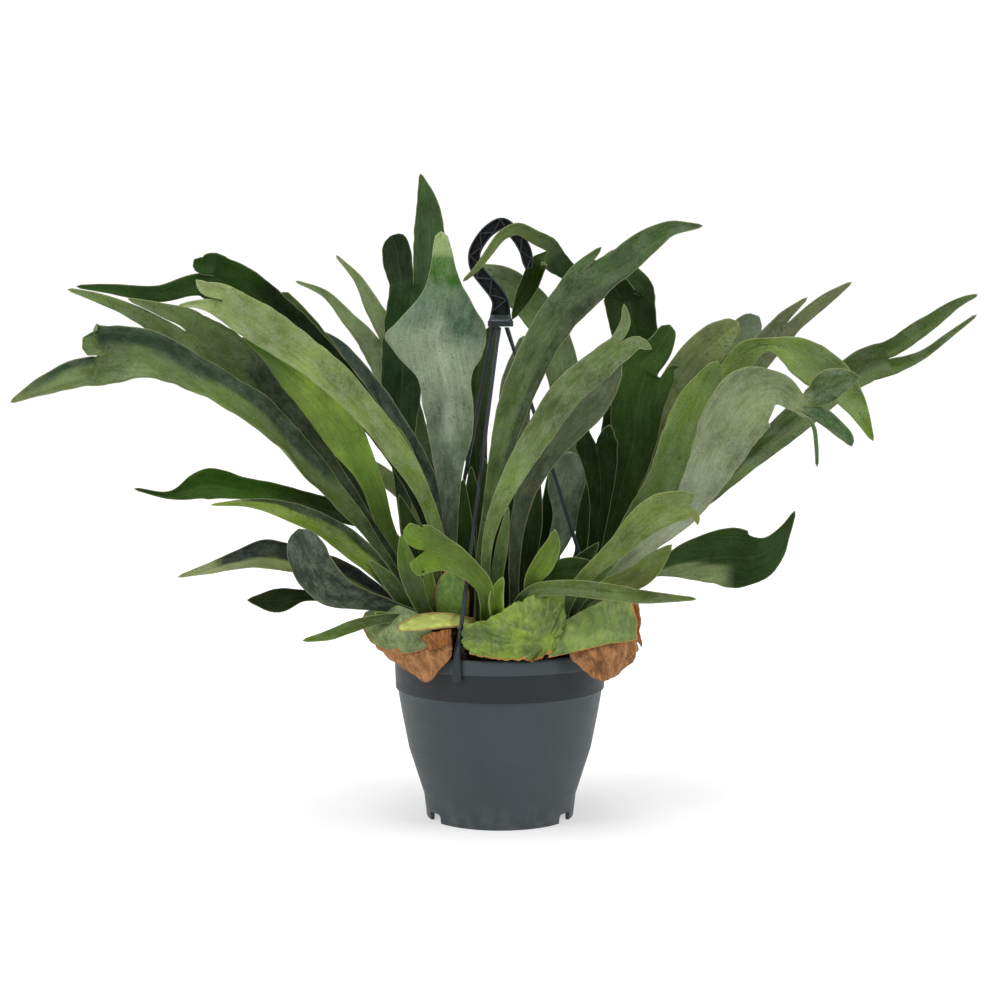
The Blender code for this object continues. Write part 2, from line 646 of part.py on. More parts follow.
               (260, -83, 426, 34, -4), (281, -85, 413, 18, 0)],
        lobes=[((0, 3), [(296, -86, 420, 22, 0), (311, -84, 431, 30, 0), (327, -82, 436, 18, 0),
                         (339, -80, 437, 4, 0)]),
               ((3, 5), [(302, -90, 402, 15, 0), (317, -93, 390, 14, 0), (327, -95, 380, 10, 0),
                         (330, -96, 373, 4, 0)]),
               ((5, 6), [(293, -97, 393, 4, 0), (296, -99, 376, 4, 0), (297, -100, 354, 3, 0)])],
        cup=40,
    ),
    "frond_right_green": dict(
        trunk=[(84, -28, SEAT, 10, 0), (96, -28, 240, 12, 0), (114, -31, 272, 16, 0),
               (136, -34, 306, 23, 0), (160, -38, 340, 34, 0), (177, -42, 379, 44, 0),
               (190, -46, 413, 40, 0), (202, -50, 438, 24, 0), (207, -54, 452, 12, 0)],
        cup=44,
    ),
    "frond_right_low_blade": dict(
        trunk=[(76, -52, SEAT, 9, 0), (79, -54, 217, 11, 0), (102, -66, 236, 16, 0), (132, -74, 248, 24, 0),
               (148, -78, 263, 20, 0), (163, -82, 279, 3, 0)],
        cup=30,
    ),
    "frond_right_low_dark": dict(
        trunk=[(94, -16, SEAT, 9, 0), (120, -24, 228, 10, 0), (150, -30, 248, 14, -10),
               (167, -34, 254, 25, -8), (184, -37, 258, 38, -8), (205, -40, 261, 50, -8),
               (227, -43, 263, 62, -6), (242, -45, 260, 58, -4)],
        lobes=[((0, 2), [(258, -46, 270, 27, 0), (272, -48, 285, 13, 0), (284, -50, 307, 3, 0)]),
               ((2, 4), [(248, -45, 240, 16, 0)])],
        cup=44,
    ),
    "frond_right_forked": dict(
        trunk=[(60, -58, SEAT, 10, 0), (65, -66, 223, 12, 0), (82, -79, 249, 14, 0),
               (99, -85, 266, 17, 0), (115, -90, 281, 22, 0), (130, -92, 297, 28, 0),
               (146, -95, 310, 32, 0), (164, -97, 317, 30, 0), (176, -99, 318, 27, 0)],
        lobes=[((0, 2), [(183, -100, 328, 6, 0)]),
               ((2, 4), [(183, -100, 309, 8, 0), (186, -100, 299, 3, 0)])],
        cup=40,
    ),
    "frond_right_olive": dict(
        trunk=[(84, 40, SEAT, 9, 0), (100, 43, 235, 12, 0), (124, 46, 280, 15, 0),
               (141, 46, 339, 22, 0), (166, 44, 409, 32, 0), (191, 42, 445, 40, 0),
               (216, 40, 470, 38, 0), (237, 38, 489, 16, 0)],
        cup=40,
    ),
    "frond_right_grey": dict(
        trunk=[(68, 50, SEAT, 9, 0), (84, 60, 226, 11, 0), (116, 64, 272, 13, 0),
               (152, 66, 338, 17, 0), (203, 66, 419, 25, 0), (238, 60, 465, 35, 0),
               (252, 58, 486, 28, 0), (260, 56, 494, 14, 0)],
        cup=40,
    ),
    "frond_right_bright": dict(
        trunk=[(92, -4, SEAT, 9, 0), (108, -4, 238, 12, 0), (138, -6, 294, 15, 0),
               (186, -10, 373, 20, 0), (222, -16, 434, 24, 0), (240, -20, 460, 24, 0),
               (262, -24, 467, 14, 0), (282, -28, 461, 30, 0), (299, -30, 450, 40, 0),
               (322, -34, 434, 36, 0), (340, -40, 412, 24, 0), (359, -46, 375, 3, 0)],
        cup=40,
    ),
    "frond_right_upper": dict(
        trunk=[(76, 30, SEAT, 9, 0), (90, 33, 228, 11, 0), (122, 34, 270, 13, 0),
               (159, 32, 314, 17, 0), (204, 30, 380, 24, 0), (239, 30, 430, 28, 0),
               (264, 28, 465, 30, 0), (284, 26, 487, 28, 0)],
        lobes=[((0, 2), [(304, 24, 513, 3, 0)]),
               ((2, 4), [(323, 20, 512, 12, 0), (346, 14, 528, 3, 0)])],
        cup=40,
    ),
    "frond_right_long": dict(
        trunk=[(92, 26, SEAT, 9, 0), (106, 25, 222, 11, -10), (144, 16, 262, 14, -20),
               (187, 8, 303, 20, -25), (236, 4, 347, 26, -26), (286, 4, 388, 31, -26),
               (335, 4, 429, 33, -20), (361, 0, 447, 36, -10), (378, -8, 453, 35, -5)],
        lobes=[((0, 2), [(404, -24, 481, 18, 0), (439, -44, 508, 9, 0), (453, -60, 515, 3, 0)]),
               ((2, 4), [(406, -26, 456, 10, 0), (427, -44, 474, 7, 0), (453, -58, 496, 3, 0)])],
        cup=50,
    ),
}

# Shield fronds wrap the rhizomes. They face outwards, and a negative cup bends them round.
SHIELDS = {
    "shield_front": dict(
        trunk=[(15, -90, 229, 50, 0), (14, -97, 219, 80, 0), (14, -103, 204, 94, 0),
               (13, -105, 186, 90, 0), (12, -104.3, 171.35, 66, 0)],
        facing=(0, -1, 0.4), cup=-40,
    ),
    "shield_right": dict(
        trunk=[(100, -65, 219, 30, 0), (98, -71, 210, 60, 0), (94, -75, 199, 78, 0),
               (86, -75, 187, 64, 0), (81, -67.7, 175.1, 26, 0)],
        facing=(0.55, -0.8, -0.15), cup=-26,
    ),
    "shield_left": dict(
        trunk=[(-93, -70, 201, 32, 0), (-91, -75, 193, 60, 0), (-85, -76, 185, 62, 0),
               (-79, -68, 175.4, 24, 0)],
        facing=(-0.6, -0.8, -0.15), cup=-22,
    ),
    "shield_rolled": dict(
        trunk=[(-26, -66, SEAT, 12, 0), (-34, -76, 203, 12, 0), (-53, -88, 206, 17, 0),
               (-74, -95, 205, 18, 0), (-97, -97, 201, 8, 0)],
        facing=(0, -1, 0.5), cup=90,
    ),
    "shield_upright": dict(
        trunk=[(-45, -60, SEAT, 26, 0), (-46, -63, 220, 34, 0), (-47, -64, 238, 30, 0),
               (-50, -63, 252, 12, 0)],
        facing=(0, -1, 0), cup=-40,
    ),
}

DEAD_SHIELDS = {
    "dead_shield_left": dict(
        trunk=[(-70, -73, 173, 60, 0), (-75, -79, 173.8, 74, 0), (-81, -86, 171, 84, 0),
               (-84, -90, 160, 58, 0), (-81, -92, 147, 6, 0)],
        facing=(-0.45, -0.54, 0.7), cup=-3,
    ),
    "dead_shield_right": dict(
        trunk=[(72, -71, 172.3, 50, 0), (79, -76.8, 173.8, 72, 0), (86, -82.6, 171, 86, 0),
               (91, -87, 160, 66, 0), (94, -90, 147, 6, 0)],
        facing=(0.54, -0.45, 0.7), cup=-3,
    ),
}


def build_blades(blades, thickness, material, collection):
    for name, blade in blades.items():
        add_blade(name, blade, thickness, material, collection)


def main():
    clear_scene()
    plant = new_collection("staghorn_fern")
    cutters = new_collection("cutters")
    pot = principled("pot_plastic", (0.07, 0.085, 0.09), 0.55)
    hanger = principled("hanger_plastic", (0.014, 0.018, 0.024), 0.5)
    mix = principled("potting_mix", (0.06, 0.035, 0.02), 0.95)
    rhizome = principled("rhizome_brown", (0.14, 0.07, 0.03), 0.95)
    leaf = principled("frond_green", (0.12, 0.20, 0.08), 0.6)
    shield = principled("shield_green", (0.30, 0.42, 0.09), 0.6)
    papery = principled("dead_shield_brown", (0.30, 0.13, 0.04), 0.85)
    build_pot(pot, plant, cutters)
    build_mix(mix, plant)
    build_rhizomes(rhizome, plant)
    build_hook(hanger, plant)
    build_arms(hanger, plant)
    build_blades(SHIELDS, SHIELD_THICKNESS, shield, plant)
    build_blades(DEAD_SHIELDS, SHIELD_THICKNESS, papery, plant)
    build_blades(FRONDS, FROND_THICKNESS, leaf, plant)


main()
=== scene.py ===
import math

import bmesh
import bpy
import numpy as np
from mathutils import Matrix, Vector, noise


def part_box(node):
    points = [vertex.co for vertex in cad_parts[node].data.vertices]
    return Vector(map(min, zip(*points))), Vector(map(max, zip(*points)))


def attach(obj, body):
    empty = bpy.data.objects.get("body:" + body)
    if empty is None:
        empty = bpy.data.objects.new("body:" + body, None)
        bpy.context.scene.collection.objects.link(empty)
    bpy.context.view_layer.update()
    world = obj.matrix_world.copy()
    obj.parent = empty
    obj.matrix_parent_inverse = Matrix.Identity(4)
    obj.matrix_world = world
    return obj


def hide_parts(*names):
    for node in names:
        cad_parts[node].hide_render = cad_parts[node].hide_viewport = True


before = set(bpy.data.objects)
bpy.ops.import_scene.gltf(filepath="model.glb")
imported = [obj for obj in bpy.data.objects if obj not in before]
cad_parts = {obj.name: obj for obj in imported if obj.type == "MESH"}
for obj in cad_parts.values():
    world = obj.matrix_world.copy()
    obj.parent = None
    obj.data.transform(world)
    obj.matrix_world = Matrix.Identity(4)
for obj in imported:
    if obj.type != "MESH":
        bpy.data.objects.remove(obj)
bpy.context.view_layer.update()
mm = 0.001
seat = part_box("rhizome_left")[1].z / mm + 0.6  # fronds stand on the rhizomes' tops


def linear(hexColour):
    channels = [int(hexColour[i : i + 2], 16) / 255 for i in (1, 3, 5)]
    return (*[c / 12.92 if c <= 0.04045 else ((c + 0.055) / 1.055) ** 2.4 for c in channels], 1.0)


def add(tree, kind, inputs=None, out=0, **settings):
    made = tree.nodes.new(kind)
    for key, value in settings.items():
        setattr(made, key, value)
    for key, value in (inputs or {}).items():
        if isinstance(value, bpy.types.NodeSocket):
            tree.links.new(value, made.inputs[key])
        else:
            made.inputs[key].default_value = value
    return made.outputs[out] if len(made.outputs) else made


def newMaterial(name):
    made = bpy.data.materials.new(name)
    made.use_nodes = True
    made.node_tree.nodes.clear()
    return made, made.node_tree


def surfaced(made, tree, colour, rough, shine, height, strength, depth):
    # Ends a material with its colour, its shine and a relief that is depth metres high.
    bump = add(tree, "ShaderNodeBump", {"Height": height, "Strength": strength, "Distance": depth})
    shader = add(tree, "ShaderNodeBsdfPrincipled", {
        "Base Color": colour, "Roughness": rough, "Specular IOR Level": shine, "Normal": bump})
    add(tree, "ShaderNodeOutputMaterial", {"Surface": shader})
    return made


def linked(name, data):
    made = bpy.data.objects.new(name, data)
    bpy.context.scene.collection.objects.link(made)
    return made


def meshObject(name, mesh, material, nodeName):
    for polygon in mesh.polygons:
        polygon.use_smooth = True
    mesh.materials.clear()
    mesh.materials.append(material)
    made = linked(name, mesh)
    belongs(made, nodeName)
    return made


def belongs(piece, nodeName):
    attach(piece, "root")
    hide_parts(nodeName)


def makeLeather(name, look):
    # Leathery fern frond under a thin grey felt, rubbed off in places. The tint is the frond's own
    # colour, with painted shade and painted light in a few fronds, noted at them.
    made, tree = newMaterial(name)
    place = add(tree, "ShaderNodeTexCoord", out="Object")
    sheet = add(tree, "ShaderNodeUVMap", uv_map="leaf")  # 1 is 100 mm across or along
    tint = add(tree, "ShaderNodeAttribute", attribute_name="tint")
    across = add(tree, "ShaderNodeAttribute", out="Fac", attribute_name="across")
    margin = add(tree, "ShaderNodeAttribute", out="Fac", attribute_name="margin")
    streakPlace = add(tree, "ShaderNodeVectorMath", {0: sheet, 1: (42.0, 2.6, 1.0)},
                      operation="MULTIPLY")
    cloudPlace = add(tree, "ShaderNodeVectorMath", {0: sheet, 1: (9.0, 3.6, 1.0)},
                     operation="MULTIPLY")
    patches, streaks, grain, cloud, specks, zone = (
        add(tree, "ShaderNodeTexNoise",
            {"Vector": spot, "Scale": scale, "Detail": detail, "Roughness": coarse})
        for spot, scale, detail, coarse in (
            (place, 20.0, 3.0, 0.6),  # patches 50 mm across
            (streakPlace, 1.0, 3.0, 0.6),  # veins 2.5 mm apart, 40 mm long
            (place, 620.0, 3.0, 0.7),  # hairs, drawn at 1.5 mm so that they show
            (cloudPlace, 1.0, 7.0, 0.7),  # felt left in clouds 10 by 30 mm
            (place, 300.0, 4.0, 0.75),  # dark pits 3 mm apart
            (place, 22.0, 2.0, 0.5),  # and the 45 mm patches that have them
        )
    )
    light = add(tree, "ShaderNodeMapRange", {0: patches, 1: 0.34, 2: 0.66,
                                           3: look["level"] / 2, 4: look["level"]})
    for tone, low, high in ((streaks, 0.8, 1.18), (grain, 0.78, 1.22)):
        tone = add(tree, "ShaderNodeMapRange", {0: tone, 1: 0.3, 2: 0.7, 3: low, 4: high})
        light = add(tree, "ShaderNodeMath", {0: light, 1: tone}, operation="MULTIPLY")
    colour = add(tree, "ShaderNodeHueSaturation",
                 {"Saturation": look["vivid"], "Color": tint, "Value": light})
    left = add(tree, "ShaderNodeMapRange", {0: cloud, 1: 0.42, 2: 0.64})
    hairs = add(tree, "ShaderNodeMapRange", {0: grain, 1: 0.3, 2: 0.64, 3: 0.25, 4: 1.0})
    feltOn = add(tree, "ShaderNodeMath", {0: left, 1: hairs}, operation="MULTIPLY")
    felted = add(tree, "ShaderNodeMath", {0: feltOn, 1: look["felt"]}, operation="MULTIPLY")
    grey = add(tree, "ShaderNodeMix", {0: 0.55, 6: tint, 7: linear("#8c9781")}, 2,
               data_type="RGBA")
    speckOn = add(tree, "ShaderNodeMapRange", {0: specks, 1: 0.57, 2: 0.65, 4: look["pits"]})
    zoneOn = add(tree, "ShaderNodeMapRange", {0: zone, 1: 0.44, 2: 0.6})
    pitted = add(tree, "ShaderNodeMath", {0: speckOn, 1: zoneOn}, operation="MULTIPLY")
    middle = add(tree, "ShaderNodeMath", {0: across}, operation="ABSOLUTE")
    midrib = add(tree, "ShaderNodeMapRange", {0: middle, 1: 0.0, 2: 0.06, 3: 0.05, 4: 0.0})
    rim = add(tree, "ShaderNodeMapRange", {0: margin, 1: 0.25, 2: 0.9, 3: 0.36, 4: 0.0})
    for share, paint in ((felted, grey), (pitted, linear("#16240a")),
                         (midrib, linear("#8c9663")), (rim, linear("#94986a"))):
        colour = add(tree, "ShaderNodeMix", {0: share, 6: colour, 7: paint}, 2, data_type="RGBA")
    height = add(tree, "ShaderNodeMath", {0: grain, 1: 0.3, 2: streaks}, operation="MULTIPLY_ADD")
    height = add(tree, "ShaderNodeMath", {0: pitted, 1: -0.5, 2: height},
                 operation="MULTIPLY_ADD")
    rough = add(tree, "ShaderNodeMapRange", {0: feltOn, 3: look["rough"], 4: look["rough"] + 0.2})
    return surfaced(made, tree, colour, rough, look["shine"], height, 0.5, 0.0008)


leatherLooks = {
    "grown": {"felt": 0.45, "pits": 0.65, "rough": 0.46, "shine": 0.22},
    "felted": {"felt": 0.75, "pits": 0.5, "rough": 0.54, "shine": 0.18},
    "dark": {"felt": 0.1, "pits": 0.4, "rough": 0.52, "shine": 0.05, "level": 1.2, "vivid": 1.1},
    "young": {"felt": 0.16, "pits": 0.5, "rough": 0.42, "shine": 0.3},
}
leathers = {
    key: makeLeather("frond_" + key, {"level": 0.92, "vivid": 1.25, **look})
    for key, look in leatherLooks.items()
}
print("leaf materials made")


fan = {"rise": 300, "longer": 0.00048, "middle": 500}


def fanOut(station):
    # Leans a frond out to the front or back as it rises, and lengthens what leans back.
    x, y, z, width, roll = (*station, 0)[:5]
    rise = max(0.0, (z - seat) / fan["rise"])
    lean = y * rise * rise
    longer = 1 + lean * fan["longer"]
    height = fan["middle"] + (z - fan["middle"]) * longer
    return np.array([x * longer, y + lean, height, width, roll], float)


def curve(knots, startTangent, spacing):
    # Rows along a smooth path through stations of x, y, z, width and roll.
    knots = np.array(knots)
    lengths = np.linalg.norm(np.diff(knots[:, :3], axis=0), axis=1)
    slopes = np.zeros_like(knots)
    rises = np.diff(knots, axis=0) / lengths[:, None]
    slopes[1:-1] = (rises[:-1] * lengths[1:, None] + rises[1:] * lengths[:-1, None]) / (
        lengths[:-1] + lengths[1:]
    )[:, None]
    slopes[0] = rises[0]
    slopes[0, :3] = startTangent
    slopes[-1] = rises[-1]
    rows = []
    for i, length in enumerate(lengths):
        count = max(2, int(round(length / spacing)))
        for step in range(1 if i else 0, count + 1):
            t = step / count
            h = (2 * t**3 - 3 * t**2 + 1, t**3 - 2 * t**2 + t, -2 * t**3 + 3 * t**2, t**3 - t**2)
            value = h[0] * knots[i] + h[1] * length * slopes[i]
            value = value + h[2] * knots[i + 1] + h[3] * length * slopes[i + 1]
            d = (6 * t**2 - 6 * t, 3 * t**2 - 4 * t + 1, 6 * t - 6 * t**2, 3 * t**2 - 2 * t)
            tangent = d[0] * knots[i] / length + d[1] * slopes[i]
            tangent = tangent + d[2] * knots[i + 1] / length + d[3] * slopes[i + 1]
            rows.append((value, Vector(tangent[:3]).normalized()))
    return rows


leafForm = {  # what every leaf shares, with lengths in mm
    "spacing": 4.0,  # of its rows
    "columns": 12,
    "narrowest": 1.2,
    "twist": 7,  # degrees that its roll wanders by
    "rollRun": 80,  # over this length
    "marginRun": 13,
    "rippleRun": 45.0,
    "tipShare": 0.12,  # of the width, left at a rounded tip
    "ruffle": 2.2,
    "crease": 0.35,  # depth of the midrib's groove
    "midrib": 0.12,  # share of the half width that the groove takes
    "grooved": 20,  # width that has the whole groove
    "vee": 0.06,  # rise of the margins over the middle, as a share of the width
    "taper": 5,  # the margin thins over this width
    "stalk": (70, 1.2),  # the base is thicker, over this length and by this much
    "lobeFade": 14,  # a lobe takes its own colour over this length
    "foldFade": (0.12, 0.05),  # a fold's edge, across and along
    "foldSway": (0.08, 23),
    "underShare": 0.55,  # of the underside's colour over the top's
}


class Sheet:
    # Rows of points and faces; facts hold across, margin, u, along, the branch and its length.
    def __init__(self, blade, seed):
        self.points, self.faces, self.facts = [], [], []
        self.facing = Vector(blade.get("facing", (0, -1, 0)))
        self.cup = math.radians(blade.get("cup", 40))
        self.wave = blade.get("wave", 0.07)
        self.ragged = blade.get("ragged", 0.03)
        self.level = blade.get("level", False)  # rows stay level, however the leaf leans
        self.seed = seed
        self.count = 0

    def row(self, value, tangent, columns, along, toTip, squeeze, branch, into):
        x, y, z, width, roll = value
        if self.level:
            tangent = Vector((0, 0, 1))
        normal = (self.facing - self.facing.dot(tangent) * tangent).normalized()
        across = tangent.cross(normal)
        sway = noise.noise((along / leafForm["rollRun"], self.seed, 1.5))
        turn = math.radians(roll + leafForm["twist"] * sway)
        side = across * math.cos(turn) - normal * math.sin(turn)
        normal = normal * math.cos(turn) + across * math.sin(turn)
        width = max(width, leafForm["narrowest"]) * squeeze
        radius = width / self.cup
        indices = []
        for column in range(columns + 1):
            s = 2 * column / columns - 1
            bite = noise.noise((along / leafForm["marginRun"], self.seed, 9 if s > 0 else 3))
            edge = 1 + self.ragged * 2 * bite
            angle = self.cup * s / 2
            ripple = noise.noise(
                (along / leafForm["rippleRun"], self.seed + 5, 4.0 if s > 0 else 0.0))
            lift = self.wave * width * leafForm["ruffle"] * ripple * s * s
            groove = leafForm["crease"] * math.exp(-((s / leafForm["midrib"]) ** 2))
            lift -= groove * min(1, width / leafForm["grooved"])
            lift += leafForm["vee"] * width * (abs(s) - 0.5)
            point = Vector((x, y, z)) + side * radius * math.sin(angle) * edge
            point += normal * (radius * (1 - math.cos(angle)) + lift)
            indices.append(len(self.points))
            self.points.append(point)
            rim = min((1 - abs(s)) * width / 2, toTip)
            self.facts.append((s, rim, s * width / 2, along, branch, into))
        return indices

    def join(self, old, new):
        for j in range(len(old) - 1):
            self.faces.append((old[j], old[j + 1], new[j + 1], new[j]))

    def branch(self, first, knots, startTangent, columns, along, isOpen):
        # Grows rows from first, or from a new row, and rounds off an open tip.
        number = self.count
        self.count += 1
        rows = curve(knots, startTangent, leafForm["spacing"])
        distance = [0.0]
        for (a, _), (b, _) in zip(rows, rows[1:]):
            distance.append(distance[-1] + float(np.linalg.norm(b[:3] - a[:3])))
        blunt = max(knots[-1][3] * 0.5, 0.5)
        last = first
        for i, (value, tangent) in enumerate(rows):
            if i == 0 and first is not None:
                continue
            squeeze, toTip = 1.0, 1e3
            if isOpen:
                toTip = distance[-1] - distance[i]
                if toTip < blunt:
                    squeeze = math.sqrt(max(1 - (1 - toTip / blunt) ** 2, 0))
                    squeeze = max(squeeze, leafForm["tipShare"])
            fresh = self.row(value, tangent, columns, along + distance[i], toTip, squeeze,
                             number, distance[i])
            if last is not None:
                self.join(last, fresh)
            last = fresh
        return last, rows[-1][1], along + distance[-1]

    def lobes(self, row, tangent, roll, lobes, unit, along):
        for (low, high), stations, *further in lobes:
            share = row[low * unit : high * unit + 1]
            middle = sum((self.points[i] for i in share), Vector()) / len(share)
            width = (self.points[share[-1]] - self.points[share[0]]).length
            knots = [np.array([*middle, width, roll]), *(fanOut(s) for s in stations)]
            deeper = further[0] if further else ()
            last, heading, reached = self.branch(
                share, knots, tangent, len(share) - 1, along, not deeper
            )
            turned = [((a - low, b - low), *rest) for (a, b), *rest in deeper]
            self.lobes(last, heading, knots[-1][4], turned, unit, reached)


def tints(blade, facts):
    # Colours along the frond, then its lobes' own, then a folded edge's or a painted shadow's.
    stops = blade["tint"].split()
    places = [float(v) for v in stops[::2]]
    colours = np.array([linear(v)[:3] for v in stops[1::2]])
    share = facts[:, 3] / facts[:, 3].max()
    top = np.stack([np.interp(share, places, colours[:, i]) for i in range(3)], axis=1)
    for branch, hexColour in blade.get("lobeTints", {}).items():
        blend = np.clip(facts[:, 5] / leafForm["lobeFade"], 0, 1) * (facts[:, 4] == branch)
        top += (np.array(linear(hexColour)[:3]) - top) * blend[:, None]
    (side, ends), (sway, bends) = leafForm["foldFade"], leafForm["foldSway"]
    for low, high, start, end, hexColour in blade.get("folds", ()):
        wander = sway * np.sin(share * bends + low * 5)
        blend = np.clip((facts[:, 0] - low - wander) / side, 0, 1)
        blend *= np.clip((high - facts[:, 0]) / side + 1, 0, 1)
        blend *= np.clip((share - start) / ends, 0, 1) * np.clip((end - share) / ends, 0, 1)
        top += (np.array(linear(hexColour)[:3]) - top) * blend[:, None]
    under = np.array(linear(blade.get("under", "#7c8761"))[:3])
    below = top + (under - top) * leafForm["underShare"]
    return np.concatenate([top, below])


def thicken(sheet, name, blade, thin, thick):
    # Makes the sheet a closed skin that is thin at its margins, with its leaf attributes.
    points = np.array([tuple(p) for p in sheet.points])
    faces = np.array(sheet.faces)
    facts = np.array(sheet.facts)
    a, b, c, d = (points[faces[:, i]] for i in range(4))
    flat = np.cross(c - a, d - b)
    normals = np.zeros_like(points)
    for i in range(4):
        np.add.at(normals, faces[:, i], flat)
    normals /= np.maximum(np.linalg.norm(normals, axis=1), 1e-9)[:, None]
    stalk, swelling = leafForm["stalk"]
    base = np.clip(1 - facts[:, 3] / stalk, 0, 1)
    inner = np.clip(facts[:, 1] / leafForm["taper"], 0, 1)
    half = (thin + (thick - thin) * inner + swelling * base) / 2
    count = len(points)
    both = np.concatenate([points + normals * half[:, None], points - normals * half[:, None]])
    edges = {}
    for face in sheet.faces:
        for i in range(4):
            pair = (face[i], face[(i + 1) % 4])
            if edges.pop((pair[1], pair[0]), None) is None:
                edges[pair] = True
    allFaces = [tuple(f) for f in sheet.faces]
    allFaces += [tuple(i + count for i in reversed(f)) for f in sheet.faces]
    allFaces += [(p[1], p[0], p[0] + count, p[1] + count) for p in edges]
    mesh = bpy.data.meshes.new(name)
    mesh.from_pydata((both * mm).tolist(), [], allFaces)
    for key, column in (("across", 0), ("margin", 1)):
        values = np.tile(facts[:, column], 2)
        mesh.attributes.new(key, "FLOAT", "POINT").data.foreach_set(
            "value", values.astype(np.float32))
    if "tint" in blade:
        colours = np.ones((count * 2, 4), np.float32)
        colours[:, :3] = tints(blade, facts)
        mesh.attributes.new("tint", "FLOAT_COLOR", "POINT").data.foreach_set(
            "color", colours.ravel())
    corners = np.zeros(len(mesh.loops), np.int32)
    mesh.loops.foreach_get("vertex_index", corners)
    flatPlaces = np.tile(facts[:, 2:4], (2, 1)) / 100
    mesh.uv_layers.new(name="leaf").data.foreach_set(
        "uv", flatPlaces[corners].astype(np.float32).ravel())
    return mesh


def growBlade(name, blade, materials, seed, thin=0.5, thick=1.3):
    # Grows a leaf upwards from its seat, with lobes that divide its columns between them.
    lobes = blade.get("lobes", ())
    base = max((high for (_, high), *_ in lobes), default=2)
    unit = max(2, round(leafForm["columns"] / base))
    sheet = Sheet(blade, seed)
    knots = [fanOut(s) for s in blade["trunk"]]
    up = Vector((0, 0, 1))
    row, tangent, along = sheet.branch(None, knots, up, base * unit, 0.0, not lobes)
    sheet.lobes(row, tangent, knots[-1][4], lobes, unit, along)
    mesh = thicken(sheet, name, blade, thin, thick)
    return meshObject(name + "_leaf", mesh, materials[blade["look"]],
                      blade.get("node", name))
